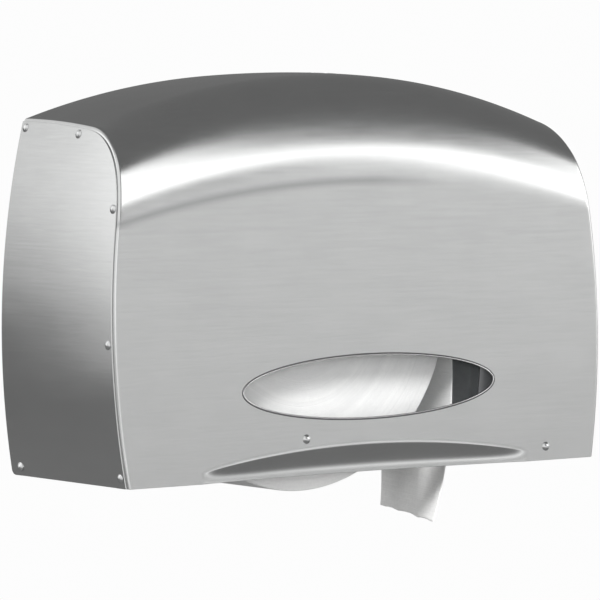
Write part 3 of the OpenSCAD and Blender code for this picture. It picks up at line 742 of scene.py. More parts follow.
@dataclass
class WrappedSheet:
    """The cover's one sheet: over the top, down the front, and turned in round both sides."""

    form: CoverForm
    scoop: Scoop
    window: Window
    top_rows: int = 20
    corner_rows: int = 36
    front_rows: int = 80
    scoop_rows: int = 22
    face_cols: int = 200
    bend_cols: int = 6
    flange_cols: int = 3
    wall_room: float = 0.03
    window_room: tuple[float, float] = (4.0, 6.0)
    window_cols: tuple[float, float] = (-113.0, 119.0)
    fold_w: float = 2.6
    fold_ends: tuple[float, float] = (10.0, 70.0)

    def _rows(self) -> tuple[Array, Array, Array]:
        """Returns per row: the zone (0 arcs, 1 front, 2 scoop), the turning angle, and the way
        s down the front or the scoop."""
        first, turn, last = self.form.corner_angles
        angle = np.concatenate([np.linspace(first, turn, self.top_rows, endpoint=False),
                                np.linspace(turn, last, self.corner_rows)])
        down = np.arange(1, self.front_rows + 1) / self.front_rows
        press = np.arange(1, self.scoop_rows + 1) / self.scoop_rows
        zone = np.repeat([0, 1, 2], [len(angle), len(down), len(press)])
        s = np.concatenate([np.zeros(len(angle)), down, press])
        return zone, np.concatenate([angle, np.full(len(down) + len(press), last)]), s

    def _at(self, zone: Array, angle: Array, s: Array, u: Array, x: Array) -> Array:
        """Returns [y, z] of the sheet's outer face at u and x.

        On the arcs it is the outline lifted by the arch along the leaning front. Down the front
        z runs straight from the corner's foot to the crease, and below the crease y is the front
        pressed in by the scoop.
        """
        form, last = self.form, self.form.corner_angles[2]
        arc = form.outline(angle)
        foot_y, foot_z = form.outline(np.array(last))
        lift = form.lift_share(angle) * form.rise(u, arc[..., 0])
        y0 = arc[..., 0] + lift * math.tan(form.lean) * arc[..., 0] / foot_y
        z0 = arc[..., 1] + lift
        crease = self.scoop.crease(x)
        z1 = (1 - s) * (foot_z + form.low_arch * form.rise(u, foot_y)) + s * crease
        z2 = crease * (1 - s)
        z = np.where(zone == 0, z0, np.where(zone == 1, z1, z2))
        pressed = np.where(zone == 2, self.scoop.depth(x, s), 0.0)
        return np.stack([np.where(zone == 0, y0, form.front_y(z) + pressed), z], -1)

    def points(self) -> Array:
        """Returns the (rows, columns, 3) points of the outer face.

        Past u = 1 the sheet turns in on a quarter circle of radius r, so a point at angle b
        goes in by r (1 - cos b) along the face's normal and stands r (1 - sin b) inside the
        side wall; then the flange runs on inwards.
        """
        form = self.form
        zone, angle, s = (k[:, None] for k in self._rows())
        u = np.linspace(-1, 1, self.face_cols + 1)
        beta = np.concatenate([np.linspace(0, np.pi / 2, self.bend_cols + 1)[1:],
                               np.full(self.flange_cols, np.pi / 2)])
        run = np.linspace(0, form.flange_w - form.bend_r, self.flange_cols + 1)[1:]
        extra = np.concatenate([np.zeros(self.bend_cols), run])
        u_all = np.concatenate([np.full(len(beta), -1.0), u, np.full(len(beta), 1.0)])[None]
        b_all = np.concatenate([beta[::-1], np.zeros(len(u)), beta])[None]
        e_all = np.concatenate([extra[::-1], np.zeros(len(u)), extra])[None]
        edge_z = self._at(zone, angle, s, np.ones((1, 1)), np.full((1, 1), form.base_w / 2))[..., 1]
        row_w = (form.side_x(edge_z) - form.sheet_t / np.cos(form.side_tilt(edge_z))
                 - self.wall_room)
        x = u_all * (row_w - form.bend_r)
        p = self._at(zone, angle, s, u_all, x)
        look = np.where((zone == 0)[..., None], np.stack([-np.sin(angle), np.cos(angle)], -1),
                        [-1.0, 0.0])
        inward = form.bend_r * (1 - np.cos(b_all)) + e_all
        q = p - inward[..., None] * look
        q[..., 1] = np.maximum(q[..., 1], 0.0)
        side = (row_w - form.side_x(p[..., 1]) + form.side_x(q[..., 1])
                - form.bend_r * (1 - np.sin(b_all)))
        x = np.where(b_all > 0, np.sign(u_all) * side, x)
        return np.concatenate([x[..., None], q], -1)

    def shape(self) -> Shape:
        """Returns the outer face with the window cut in it.

        The grid's quads inside a frame round the window are left out, and rings of points run
        from the frame's own points to the oval: P = F + (O - F) k / n in x and z, on the
        leaning front.
        """
        grid = self.points()
        rows, cols = grid.shape[:2]
        front = np.flatnonzero(self._rows()[0] == 1)
        middle = grid[front[len(front) // 2], :, 0]
        left, right = (int(np.abs(middle - x).argmin()) for x in self.window_cols)
        heights = grid[front, left:right + 1, 2]
        over = heights.min(1) > self.window.z + self.window.height / 2 + self.window_room[1]
        under = heights.max(1) < self.window.z - self.window.height / 2 - self.window_room[0]
        top, low = front[over][-1], front[under][0]
        index = np.arange(rows * cols).reshape(rows, cols)
        keep = np.ones((rows - 1, cols - 1), bool)
        keep[top:low, left:right] = False
        frame = np.concatenate([index[top, left:right], index[top:low, right],
                                index[low, right:left:-1], index[low:top:-1, left]])
        outer = grid.reshape(-1, 3)[frame]
        half_w, half_h = np.ptp(outer[:, 0]) / 2, np.ptp(outer[:, 2]) / 2
        ox, oz = self.window.edge(outer[:, 0], outer[:, 2], half_w, half_h)
        n = self.window.rings
        k = (np.arange(1, n + 1) / n)[:, None]
        x = outer[:, 0] + (ox - outer[:, 0]) * k
        z = outer[:, 2] + (oz - outer[:, 2]) * k
        rings = np.stack([x, self.form.front_y(z), z], -1)
        ring_index = rows * cols + np.arange(rings[..., 0].size).reshape(n, -1)
        ring_index = np.concatenate([frame[None], ring_index])
        ring_index = np.concatenate([ring_index, ring_index[:, :1]], 1)
        quads = np.concatenate([grid_quads(index).reshape(rows - 1, cols - 1, 4)[keep],
                                grid_quads(ring_index)])
        points = np.concatenate([grid.reshape(-1, 3), rings.reshape(-1, 3)])
        used = np.unique(quads)
        renumber = np.zeros(len(points), int)
        renumber[used] = np.arange(len(used))
        return Shape(points[used], renumber[quads]).facing((0, -1, 1))

    def fold_mark(self, points: Array) -> Array:
        """Returns how near each point is to the fold at the corner's foot: exp(-(d / w)^2) of
        its height d over the fold's line, on the front half, fading out right of the middle. The
        finish darkens the sheet there as painted shade."""
        foot_y, foot_z = self.form.outline(np.array(self.form.corner_angles[2]))
        half = self.form.side_x(foot_z) - self.form.sheet_t - self.form.bend_r
        u = np.clip(points[:, 0] / half, -1, 1)
        line = foot_z + self.form.low_arch * self.form.rise(u, foot_y)
        start, end = self.fold_ends
        fade = np.clip((end - points[:, 0]) / (end - start), 0, 1)
        fade = fade * (points[:, 1] < -self.form.depth / 2)
        return np.exp(-((points[:, 2] - line) / self.fold_w) ** 2) * fade

    def build(self, finish: bpy.types.Material) -> bpy.types.Object:
        """Returns the finished sheet, which stands for the faceted node."""
        face = self.shape()
        wall = face.thickened(self.form.sheet_t)
        # Both marks carry painted shade: the dark line at the fold and the dark inside.
        marks = {"fold": self.fold_mark(wall.points), "inside": inside_mark(face, wall)}
        piece = make_piece("cover_sheet", wall, marks=marks)
        return mount(piece, finish, "cover", "cover_wrap")


@dataclass
class WindowBead:
    """A thin round bar round the window's cut edge: the polished bead, or a dark ring that is
    painted shade for the shadowed gap at the sheet's edge.
    """

    form: CoverForm
    window: Window
    name: str
    radius: float
    outside: float
    sunk: float
    around: int = 240
    facets: int = 12

    def shape(self) -> Shape:
        """Returns a round bar of radius r along the oval P(t) = (x0 + a cos t, z0 + b sin t) on
        the leaning front: P + n (r cos c + outside) - y r sin c, with n the oval's normal."""
        t = np.linspace(0, 2 * np.pi, self.around, endpoint=False)[:, None]
        c = np.linspace(0, 2 * np.pi, self.facets, endpoint=False)[None]
        a, b = self.window.width / 2, self.window.height / 2
        nx, nz = np.cos(t) / a, np.sin(t) / b
        size = np.hypot(nx, nz)
        out = self.radius * np.cos(c) + self.outside
        x = self.window.x + a * np.cos(t) + out * nx / size
        z = self.window.z + b * np.sin(t) + out * nz / size
        y = self.form.front_y(z) + self.sunk - self.radius * np.sin(c)
        index = np.arange(x.size).reshape(x.shape)
        index = np.concatenate([index, index[:1]])
        index = np.concatenate([index, index[:, :1]], 1)
        return Shape(np.stack([x, y, z], -1).reshape(-1, 3), grid_quads(index)).outward()

    def build(self, finish: bpy.types.Material) -> bpy.types.Object:
        """Returns the finished bead."""
        return mount(make_piece(self.name, self.shape()), finish, "cover")


@dataclass
class SideWall:
    """A side wall: part of a cylinder inside the cover's outline, with a hem along its foot."""

    form: CoverForm
    across: int = 60
    up: int = 120
    end_cols: tuple[int, int] = (4, 6)
    corner_steps: int = 30
    top_steps: int = 20
    foot_steps: int = 8
    hem_rows: int = 5
    hinge_y: float = 11.0
    foot_r: float = 3.0
    hem_gap: float = 1.0

    def _front_edge(self, share: Array) -> tuple[Array, Array]:
        """Returns the outline's lower part, up the front to the corner's middle, and its upper
        part, from there back to the wall, each as [y, z] at shares of its length."""
        form = self.form
        first, turn, last = form.corner_angles
        mid = (turn + last) / 2
        over = np.concatenate([np.linspace(first, turn, self.top_steps, endpoint=False),
                               np.linspace(turn, mid, self.corner_steps)])
        low, high = (form.outline(angle, form.edge_in)
                     for angle in (np.linspace(last, mid, self.corner_steps), over))
        low = np.concatenate([[[form.front_y(0.0) + form.edge_in, 0.0]], low])
        return self._along(low, share[0]), self._along(high, share[1])

    @staticmethod
    def _along(path: Array, share: Array) -> Array:
        """Returns points at shares of a path's length."""
        length = np.concatenate([[0], np.cumsum(np.hypot(*np.diff(path, axis=0).T))])
        return np.stack([np.interp(share * length[-1], length, path[:, k]) for k in (0, 1)], -1)

    def shape(self) -> Shape:
        """Returns the right wall's outer face.

        The patch between its four edges is the sum of the two ruled surfaces less the bilinear
        one: P(u, v) = (1-v) A(u) + v B(u) + (1-u) C(v) + u D(v) - corners, in [y, z], and x is
        the side wall's arc at z. The hem's rows go on from the foot, inwards.
        """
        form = self.form
        y0, yf = -form.wall_gap - self.foot_r, form.front_y(0.0) + form.edge_in
        y1, y2 = -(self.hinge_y + self.hem_gap), -form.depth + form.flange_w + self.hem_gap
        foot_y = np.concatenate([np.linspace(y0, y1, self.end_cols[0], endpoint=False),
                                 np.linspace(y1, y2, self.across, endpoint=False),
                                 np.linspace(y2, yf, self.end_cols[1])])
        u = (foot_y - y0) / (yf - y0)
        v = np.linspace(0, 1, self.up + 1)
        foot = np.stack([foot_y, np.zeros(len(u))], -1)
        front, top = self._front_edge((v, u))
        bend = np.radians(np.linspace(270, 360, self.foot_steps))
        round_foot = np.stack([y0 + self.foot_r * np.cos(bend),
                               self.foot_r + self.foot_r * np.sin(bend)], -1)
        back = self._along(np.concatenate([round_foot, top[:1]]), v)
        uu, vv = u[None, :, None], v[:, None, None]
        patch = ((1 - vv) * foot[None] + vv * top[None] + (1 - uu) * back[:, None]
                 + uu * front[:, None])
        patch -= ((1 - uu) * (1 - vv) * foot[0] + uu * (1 - vv) * foot[-1]
                  + (1 - uu) * vv * top[0] + uu * vv * top[-1])
        wall = np.concatenate([form.side_x(patch[..., 1])[..., None], patch], -1)
        hem_cols = np.flatnonzero((foot_y <= y1 + 0.01) & (foot_y >= y2 - 0.01))
        inset = np.linspace(0, form.hem_w, self.hem_rows + 1)[1:]
        hem = np.stack(np.broadcast_arrays(form.side_x(0.0) - inset[:, None],
                                           foot_y[hem_cols][None], np.zeros((1, 1))), -1)
        count = wall[..., 0].size
        hem_index = count + np.arange(hem[..., 0].size).reshape(self.hem_rows, -1)
        hem_index = np.concatenate([hem_cols[None], hem_index])
        quads = np.concatenate([grid_quads(np.arange(count).reshape(-1, len(u))),
                                grid_quads(hem_index)[:, ::-1]])
        points = np.concatenate([wall.reshape(-1, 3), hem.reshape(-1, 3)])
        return Shape(points, quads).facing((1, 0, 0))

    def build(self, side: str, finish: bpy.types.Material) -> bpy.types.Object:
        """Returns the wall on one side, "left" or "right"."""
        face = self.shape()
        wall = face.thickened(self.form.sheet_t)
        # The inside mark carries painted shade: the finish darkens the wall's inner face.
        piece = make_piece(f"{side}_wall", wall.mirrored() if side == "left" else wall,
                           marks={"inside": inside_mark(face, wall)})
        return mount(piece, finish, "cover", f"{side}_side_panel")


# ------------------------------------------------------------------ rivets


@dataclass
class Fasteners:
    """The domed rivets of the cover."""

    form: CoverForm
    head_r: float = 2.9
    head_h: float = 1.5
    head_rim: float = 0.12
    head_steps: int = 14
    shank_r: float = 1.6
    inset: float = 5.8
    seat: float = 0.02
    tail: tuple[tuple[float, float], ...] = ((2.5, 0.0), (2.35, 1.0), (0.0, 1.0))
    side_grip: float = 2.3
    bar_grip: float = 2.15
    top_ys: tuple[float, ...] = (-5.0, -64.0)
    over_corner_foot: float = 9.0
    front_zs: tuple[float, ...] = (87.0, 6.0)
    bar_marks: tuple[tuple[float, float], ...] = ((-48.6, 23.4), (144.7, 8.8))

    def _rivet(self, grip: float, at: Sequence[float], direction: Sequence[float]) -> Shape:
        """Returns a rivet: a dome r = R sin t, h = h0 - R (1 - cos t), its shank and its end."""
        radius = (self.head_r**2 + self.head_h**2) / (2 * self.head_h)
        t = np.linspace(0, math.asin(self.head_r / radius), self.head_steps)
        dome = np.stack([radius * np.sin(t), self.head_h - radius * (1 - np.cos(t))], -1)
        dome[-1] = [self.head_r, self.head_rim]
        shank = [[self.head_r - 0.1, 0.0], [self.shank_r, 0.0], [self.shank_r, -grip]]
        tail = [[r, -grip - h] for r, h in self.tail]
        foot = np.array(at) + self.seat * np.array(direction)
        return turned(np.concatenate([dome, shank, tail]), foot, direction)

    def side_rivets(self) -> Shape:
        """Returns the five rivets of the right side."""
        form = self.form
        foot_y, foot_z = form.outline(np.array(form.corner_angles[2]))
        spots = [*((y, form.top_z(y) - self.inset) for y in self.top_ys),
                 (foot_y + self.inset, foot_z + self.over_corner_foot),
                 *((form.front_y(z) + self.inset, z) for z in self.front_zs)]
        rivets = []
        for y, z in spots:
            tilt = float(form.side_tilt(z))
            out = (math.cos(tilt), 0.0, math.sin(tilt))
            rivets.append(self._rivet(self.side_grip, (form.side_x(z), y, z), out))
        return joined(rivets)

    def bar_rivets(self) -> Shape:
        """Returns the two rivets of the tear bar, in the front face."""
        out = (0.0, -math.cos(self.form.lean), math.sin(self.form.lean))
        return joined([self._rivet(self.bar_grip, (x, self.form.front_y(z), z), out)
                       for x, z in self.bar_marks])

    def build(self, finish: bpy.types.Material) -> list[bpy.types.Object]:
        """Returns the rivets' pieces."""
        side = self.side_rivets()
        return [mount(make_piece(name, shape), finish, "cover", node)
                for name, shape, node in (("right_rivets", side, "right_panel_rivets"),
                                          ("left_rivets", side.mirrored(), "left_panel_rivets"),
                                          ("bar_rivets", self.bar_rivets(), "tear_bar_rivets"))]


# ------------------------------------------------------------------ paper


@dataclass
class PaperRoll:
    """The full roll: a wound web with a plain bore, soft edges and slightly uneven plies."""

    x: float = -37.0
    z: float = 105.0
    radius: float = 116.0
    bore: float = 24.15
    back: float = 12.8
    width: float = 91.0
    edge: float = 0.9
    bore_edge: float = 0.4
    ply_step: float = 0.12
    seed: int = 11
    face_rings: int = 70
    edge_rings: int = 5
    flank_rings: int = 12
    around: int = 220
    swells: tuple[tuple[float, int, float], ...] = ((0.22, 3, 1.0), (0.12, 8, 2.0))
    sunk: float = 0.2
    swells_from: float = 60.0

    def shape(self) -> Shape:
        """Returns the roll: a ring-shaped profile turned about Y. Plies stand proud of the flat
        faces by seeded steps, and the outside swells by the sum of a sin(n t + p) less its
        sunk, more towards the outside."""
        rng = np.random.default_rng(self.seed)
        r = np.linspace(self.bore + self.bore_edge, self.radius - self.edge, self.face_rings)
        step = np.convolve(rng.uniform(-self.ply_step, 0.0, len(r) + 2), np.ones(3) / 3, "valid")
        t = np.linspace(0, np.pi / 2, self.edge_rings)
        round_r = self.radius - self.edge * (1 - np.sin(t))
        round_h = self.edge * (1 - np.cos(t))
        side = np.linspace(self.edge, self.width - self.edge, self.flank_rings)[1:-1]
        near = np.stack([r, -step], -1)
        low = np.stack([round_r[1:], round_h[1:]], -1)
        flank = np.stack([np.full(len(side), self.radius), side], -1)
        high = np.stack([round_r[::-1], self.width - round_h[::-1]], -1)
        far = np.stack([r[::-1], self.width + step[::-1]], -1)
        mouth = [[self.bore, self.bore_edge]]
        end = [[self.bore, self.width - self.bore_edge]]
        profile = np.concatenate([mouth, near, low, flank, high, far, end, mouth])
        shape = turned(profile, (self.x, -self.back, self.z), (0, -1, 0), self.around)
        dx, dz = shape.points[:, 0] - self.x, shape.points[:, 2] - self.z
        angle, dist = np.arctan2(dz, dx), np.hypot(dx, dz)
        share = np.clip((dist - self.swells_from) / (self.radius - self.swells_from), 0, 1)
        waves = sum(a * np.sin(n * angle + p) for a, n, p in self.swells)
        swell = (waves - self.sunk) * share**2
        shape.points[:, 0] += dx / dist * swell
        shape.points[:, 2] += dz / dist * swell
        return shape

    def build(self, finish: bpy.types.Material) -> bpy.types.Object:
        """Returns the finished roll."""
        return mount(make_piece("tissue_roll", self.shape()), finish, "roll",
                     "jumbo_roll")


@dataclass
class HangingPaper:
    """The web that leaves the roll and hangs out under the cover, torn off at its end."""

    roll: PaperRoll
    leave: float = math.radians(12)
    lap: float = math.radians(30)
    end_x: float = 69.0
    end_turn: float = 29.0
    end_drop: float = 38.0
    end_lift: float = 2.0
    stand_off: float = 0.12
    leave_reach: float = 60.0
    end_reach: tuple[float, float, float] = (16.0, 17.0, 5.0)
    thickness: float = 0.16
    rows: int = 150
    lap_rows: int = 16
    cols: int = 56
    seed: int = 5
    tear: tuple[float, float] = (0.004, 0.0035)
    tear_waves: tuple[int, ...] = (3, 5, 8, 13, 21, 26)

    def _tear(self, v: Array) -> Array:
        """Returns how much of the length the torn edge lacks at v across the web, in parts of
        it: the sum of seeded sines a / k^0.6 sin(2 pi k v + p)."""
        rng = np.random.default_rng(self.seed)
        rough = sum(rng.uniform(0.3, 1.0) / k**0.6
                    * np.sin(2 * np.pi * k * v + rng.uniform(0, 6.28)) for k in self.tear_waves)
        least, height = self.tear
        return least + height * (rough - rough.min())

    def points(self) -> Array:
        """Returns (rows, columns, 3) points: an arc on the roll, then the cubic Bezier curve
        P(s) = (1-s)^3 A + 3 s (1-s)^2 B + 3 s^2 (1-s) C + s^3 D, whose C and D move right
        across the web; two sines of v, growing as s^2.2, fold it sideways."""
        roll = self.roll
        v = np.linspace(0, 1, self.cols)[None]
        turn = np.linspace(self.leave + self.lap, self.leave, self.lap_rows, endpoint=False)
        r = roll.radius + self.stand_off
        lap_x, lap_z = (np.repeat(k[:, None], self.cols, 1) for k in (
            roll.x + r * np.cos(turn), roll.z + r * np.sin(turn)))
        s = np.linspace(0, 1, self.rows - self.lap_rows)[:, None] * (1 - self._tear(v))
        a = np.array([roll.x + r * math.cos(self.leave), roll.z + r * math.sin(self.leave)])
        b = a + self.leave_reach * np.array([math.sin(self.leave), -math.cos(self.leave)])
        c_out, c_turn, c_height = self.end_reach
        c = (self.end_x + c_out + c_turn * v, c_height)
        d = (self.end_x + self.end_turn * v, -self.end_drop + self.end_lift * v)
        web = [(1 - s) ** 3 * a[k] + 3 * s * (1 - s) ** 2 * b[k]
               + 3 * s**2 * (1 - s) * c[k] + s**3 * d[k] for k in (0, 1)]
        fold = s**2.2 * (0.9 * np.sin(2 * np.pi * (1.35 * v + 0.25) + 1.8 * s)
                         + 0.45 * np.sin(2 * np.pi * 2.9 * v + 4 * s + 1.0))
        x = np.concatenate([lap_x, web[0] + fold])
        z = np.concatenate([lap_z, web[1]])
        y = np.broadcast_to(-roll.back - roll.width * (1 - v), x.shape)
        return np.stack([x, y, z], -1)

    def build(self, finish: bpy.types.Material) -> bpy.types.Object:
        """Returns the finished paper."""
        points = self.points()
        web = surface(points).facing((1, 0, 0))
        piece = mount(make_piece("hanging_paper", web, self.thickness), finish,
                      "wall_frame", "paper_tail")
        return piece


# ------------------------------------------------------------------ parts that keep their CAD shape


@dataclass
class Hardware:
    """The CAD nodes that stay, by the finish that they get; the pins get the rivets' steel."""

    plate: tuple[str, ...] = ("back_plate",)
    zinc: tuple[str, ...] = (
        "left_hinge_bracket", "right_hinge_bracket", "bracket_rivets", "roll_axle",
        "roll_axle_rivets", "roll_washer", "roll_nut", "stub_axle", "stub_axle_rivets",
        "stub_washer", "stub_nut", "catch_bracket", "catch_rivets", "lock_nut", "lock_cam",
        "cam_screw")
    nylon: tuple[str, ...] = ("hinge_washers",)
    plastic: tuple[str, ...] = ("roll_spindle", "stub_spindle")
    chrome: tuple[str, ...] = ("lock_barrel", "lock_plug")
    rubber: tuple[str, ...] = ("window_ring",)
    lens: tuple[str, ...] = ("window_lens",)
    blade: tuple[str, ...] = ("tear_bar",)
    pins: tuple[str, ...] = ("hinge_pins",)

    def build(self, nodes: dict[str, bpy.types.Object],
              rivet_steel: bpy.types.Material) -> None:
        """Gives each node its finish."""
        finishes = {
            "plate": PlainMetal((0.37, 0.375, 0.38), (0.31, 0.315, 0.32), 0.42, 0.012),
            "zinc": PlainMetal((0.60, 0.61, 0.61), (0.50, 0.51, 0.53), 0.30, 0.003),
            "nylon": MouldedPlastic((0.84, 0.84, 0.82), (0.78, 0.78, 0.75), 0.5),
            "plastic": MouldedPlastic((0.13, 0.135, 0.14), (0.10, 0.105, 0.11), 0.48),
            "chrome": PlainMetal((0.78, 0.78, 0.78), (0.72, 0.72, 0.73), 0.12, 0.006, 0.02),
            "rubber": MouldedPlastic((0.022, 0.022, 0.023), (0.012, 0.012, 0.012), 0.85,
                                     0.0009, 0.5),
            "lens": ClearLens(),
            "blade": BrushedSteel(Grain.ACROSS_WRAP),
        }
        for kind in fields(self):
            finish = finishes.get(kind.name)
            material = finish.material(f"{kind.name}_finish") if finish else rivet_steel
            for name in getattr(self, kind.name):
                dress(nodes[name], material)
                LOG.info("%s keeps its CAD shape, in %s", name, material.name)


# ------------------------------------------------------------------ studio


Edge = tuple[tuple[float, float], ...]


@dataclass(frozen=True)
class Card:
    """A soft-edged light card far off: its bearing from straight ahead towards +X, half its
    width, its lowest and highest edge as [bearing, height] points, its brightness, and how
    soft its edges and its sides are. All angles are in degrees."""

    bearing: float
    half_width: float
    low: Edge
    high: Edge
    strength: float
    soft: float
    side_soft: float = 10.0


@dataclass(frozen=True)
class Panel:
    """A light panel near the object: where it stands, its size, its power, and whether polished
    faces show it."""

    name: str
    at: tuple[float, float, float]
    size: tuple[float, float]
    power: float
    shows: bool


@dataclass(frozen=True)
class FloorPaint:
    """How light the floor is painted, as painted light and shade that polished faces show: darker
    near the object, lighter farther off, and pools of painted light well ahead of its front and
    well to its left; and the distances in metres between which each change runs."""

    near: float = 0.17
    far: float = 0.23
    ahead: float = 0.92
    left: float = 0.85
    far_run: tuple[float, float] = (1.0, 2.6)
    ahead_run: tuple[float, float] = (1.0, 3.0)
    left_run: tuple[float, float] = (2.0, 3.5)


@dataclass
class Studio:
    """The camera at the photograph's angle, a pale floor, soft light cards all round. The
    camera sees plain paper white where it sees the floor or the world."""

    camera_at: tuple[float, float, float] = (-1.8256, -2.4581, 0.1618)
    pitch: float = math.radians(3.258)
    yaw: float = math.radians(37.203)
    lens: float = 284.75
    floor_z: float = -0.75
    floor_half: float = 30.0
    paint: FloorPaint = FloorPaint()
    ahead: tuple[float, float, float] = (0.57, -0.82, 0.0)
    left: tuple[float, float, float] = (-0.82, -0.57, 0.0)
    paper_white: float = 0.98
    dimmest: float = 0.185
    panels_aim: tuple[float, float, float] = (0.0, -0.06, 0.0)
    cards: tuple[Card, ...] = (
        Card(48, 28, ((40, 14.2), (42, 7.5), (50, 4), (60, -8)),
             ((28, 43), (39, 18.2), (46, 18.6), (62, 27)), 2.5, 2.5),
        Card(7, 45, ((0, -35),), ((0, 9),), 0.68, 4),
        Card(-55, 40, ((0, -10),), ((0, 70),), 0.95, 6),
        Card(-143, 52, ((0, 4),), ((0, 60),), 0.72, 8),
        Card(-143, 52, ((0, -40),), ((0, 4),), 0.14, 8),
    )
    panels: tuple[Panel, ...] = (
        Panel("key", (-2.0, -2.3, 2.3), (1.2, 1.2), 195.0, False),
        Panel("fill", (1.2, -2.6, -0.1), (1.6, 1.6), 14.0, False),
        Panel("side", (-0.65, 0.32, 0.22), (0.36, 0.75), 0.66, True),
    )

    def camera(self) -> None:
        """Makes the scene's camera."""
        data = bpy.data.cameras.new("camera")
        data.lens, data.sensor_width = self.lens, 36.0
        data.clip_start, data.clip_end = 0.05, 60.0
        camera = bpy.data.objects.new("camera", data)
        camera.location = self.camera_at
        camera.rotation_euler = (math.pi / 2 - self.pitch, 0.0, -self.yaw)
        bpy.context.scene.collection.objects.link(camera)
        bpy.context.scene.camera = camera

    def floor(self) -> None:
        """Makes the pale floor."""
        mesh = bpy.data.meshes.new("floor")
        mesh.from_pydata([(x * self.floor_half, y * self.floor_half, self.floor_z)
                          for x, y in ((-1, -1), (1, -1), (1, 1), (-1, 1))], [], [(0, 1, 2, 3)])
        floor = bpy.data.objects.new("floor", mesh)
        bpy.context.scene.collection.objects.link(floor)
        material = bpy.data.materials.new("floor_finish")
        g = ShaderGraph(material)
        place, paint = g.place(), self.paint
        seen = g.add("ShaderNodeLightPath", output="Is Camera Ray")
        pale = g.add("ShaderNodeEmission", None,
                     {"Color": (1, 1, 1, 1), "Strength": self.paper_white})
        away = g.vector("LENGTH", place, output="Value")
        ahead, left = (g.vector("DOT_PRODUCT", place, way, "Value")
                       for way in (self.ahead, self.left))
        # Painted light and shade: the floor's colour for all but camera rays is darker near the
        # object and lighter in painted pools ahead of it and to its left.
        shade = (g.between(away, *paint.far_run, paint.near, paint.far)
                 + g.between(ahead, *paint.ahead_run, 0.0, paint.ahead - paint.far)
                 + g.between(left, *paint.left_run, 0.0, paint.left - paint.far))
        grey = g.add("ShaderNodeCombineColor", None, {"Red": shade, "Green": shade, "Blue": shade})
        matt = g.add("ShaderNodeBsdfDiffuse", None, {"Color": grey})
        both = g.add("ShaderNodeMixShader", None, {0: seen, 1: matt, 2: pale})
        g.add("ShaderNodeOutputMaterial", None, {"Surface": both})
        dress(floor, material)

    @staticmethod
    def _over(g: ShaderGraph, height: Value, bearing: Value, edge: Edge) -> Value:
        """Returns how far a direction's height is above an edge, in sines: the edge starts at
        its first point's height, and steps softly to the next height between two points."""
        above = height - math.sin(math.radians(edge[0][1]))
        for (b0, h0), (b1, h1) in zip(edge[:-1], edge[1:]):
            step = math.sin(math.radians(h1)) - math.sin(math.radians(h0))
            above = above - g.between(bearing, math.radians(b0), math.radians(b1), 0.0, step)
        return above

    def _card(self, g: ShaderGraph, towards: Value, height: Value, bearing: Value,
              card: Card) -> Value:
        """Returns a card's light: soft steps in height, and in the cosine of the bearing's
        distance from the card's middle, (x sin b - y cos b) / sqrt(1 - z^2)."""
        b = math.radians(card.bearing)
        ahead = g.vector("DOT_PRODUCT", towards, (math.sin(b), -math.cos(b), 0.0), "Value")
        ahead = ahead / (1.0001 - height * height) ** 0.5
        soft = math.sin(math.radians(card.soft))
        edges = [math.cos(math.radians(card.half_width + k))
                 for k in (card.side_soft, -card.side_soft)]
        return (g.between(self._over(g, height, bearing, card.low), -soft, soft)
                * g.between(self._over(g, height, bearing, card.high), -soft, soft, 1.0, 0.0)
                * g.between(ahead, *edges) * card.strength)

    def light(self) -> None:
        """Makes the soft light: a world that glows from its cards, and the near panels."""
        world = bpy.data.worlds.new("studio")
        bpy.context.scene.world = world
        g = ShaderGraph(world)
        towards = g.add("ShaderNodeTexCoord", output="Generated")
        x, y, height = (g.add("ShaderNodeSeparateXYZ", None, {0: towards}, k) for k in "XYZ")
        bearing = g.add("ShaderNodeMath", {"operation": "ARCTAN2"}, {0: x, 1: 0 - y})
        power = self.dimmest
        for card in self.cards:
            power = self._card(g, towards, height, bearing, card) + power
        seen = g.add("ShaderNodeLightPath", output="Is Camera Ray")
        glow = g.add("ShaderNodeBackground", None, {"Color": (1, 1, 1, 1), "Strength": power})
        white = g.add("ShaderNodeBackground", None,
                      {"Color": (1, 1, 1, 1), "Strength": self.paper_white})
        g.add("ShaderNodeOutputWorld", None,
              {"Surface": g.add("ShaderNodeMixShader", None, {0: seen, 1: glow, 2: white})})
        for panel in self.panels:
            self._lamp(panel)

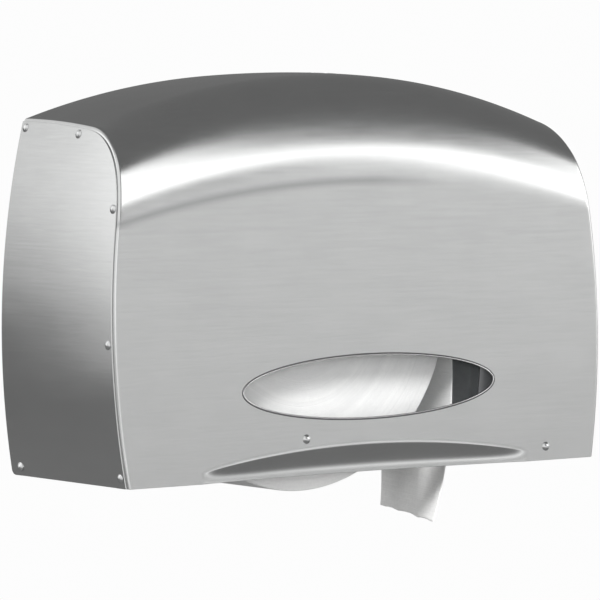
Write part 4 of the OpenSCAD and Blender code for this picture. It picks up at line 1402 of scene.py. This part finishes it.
    def _lamp(self, panel: Panel) -> None:
        """Makes a panel that faces the object: its tilt is the angle of its place from straight
        up, seen from the object, and its turn about Z is its bearing."""
        data = bpy.data.lights.new(panel.name, "AREA")
        data.shape, data.size, data.size_y, data.energy = "RECTANGLE", *panel.size, panel.power
        lamp = bpy.data.objects.new(panel.name, data)
        aim = np.array(panel.at) - self.panels_aim
        tilt = math.atan2(math.hypot(aim[0], aim[1]), aim[2])
        lamp.location = panel.at
        lamp.rotation_euler = (tilt, 0.0, math.atan2(aim[0], -aim[1]))
        lamp.visible_glossy = panel.shows
        bpy.context.scene.collection.objects.link(lamp)

    def build(self) -> None:
        """Sets the studio up."""
        bpy.context.scene.view_settings.view_transform = "Standard"
        self.camera()
        self.floor()
        self.light()


def main() -> None:
    """Builds the sub-assemblies in order."""
    logging.basicConfig(level=logging.INFO, format="%(name)s: %(message)s")
    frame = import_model()
    Studio().build()
    form = CoverForm()
    wrap_steel = BrushedSteel(Grain.ACROSS_WRAP).material("wrap_finish")
    wall_steel = BrushedSteel(Grain.ALONG_WALLS).material("wall_finish")
    rivet = PlainMetal((0.64, 0.645, 0.645), (0.56, 0.565, 0.565), 0.22, 0.002)
    bead = PlainMetal((0.70, 0.70, 0.70), (0.62, 0.62, 0.625), 0.14, 0.003, 0.02)
    # The dark ring at the window's cut edge is painted shade for the shadowed gap between the bead
    # and the sheet.
    gap_shade = MouldedPlastic((0.06, 0.06, 0.062), (0.04, 0.04, 0.041), 0.6, 0.0009, 0.3)
    rivet_steel = rivet.material("rivet_finish")
    bead_steel, gap_shade_dark = bead.material("bead_finish"), gap_shade.material("gap_shade_finish")
    roll = PaperRoll()
    wound = WoundTissue((roll.x * MM, (roll.z - SCREW_Z) * MM), roll.radius * MM)
    made = [
        WrappedSheet(form, Scoop(), Window()).build(wrap_steel),
        SideWall(form).build("left", wall_steel),
        SideWall(form).build("right", wall_steel),
        WindowBead(form, Window(), "window_bead", 0.5, -0.6, 0.15).build(bead_steel),
        WindowBead(form, Window(), "window_gap_shade", 0.45, 0.15, 0.2).build(gap_shade_dark),
        *Fasteners(form).build(rivet_steel),
        roll.build(wound.material("roll_finish")),
        HangingPaper(roll).build(TissueWeb().material("paper_finish")),
    ]
    for piece in made:
        LOG.info("%s: %d faces", piece.name, len(piece.data.polygons))
    Hardware().build(frame["nodes"], rivet_steel)


if __name__ == "__main__":
    main()
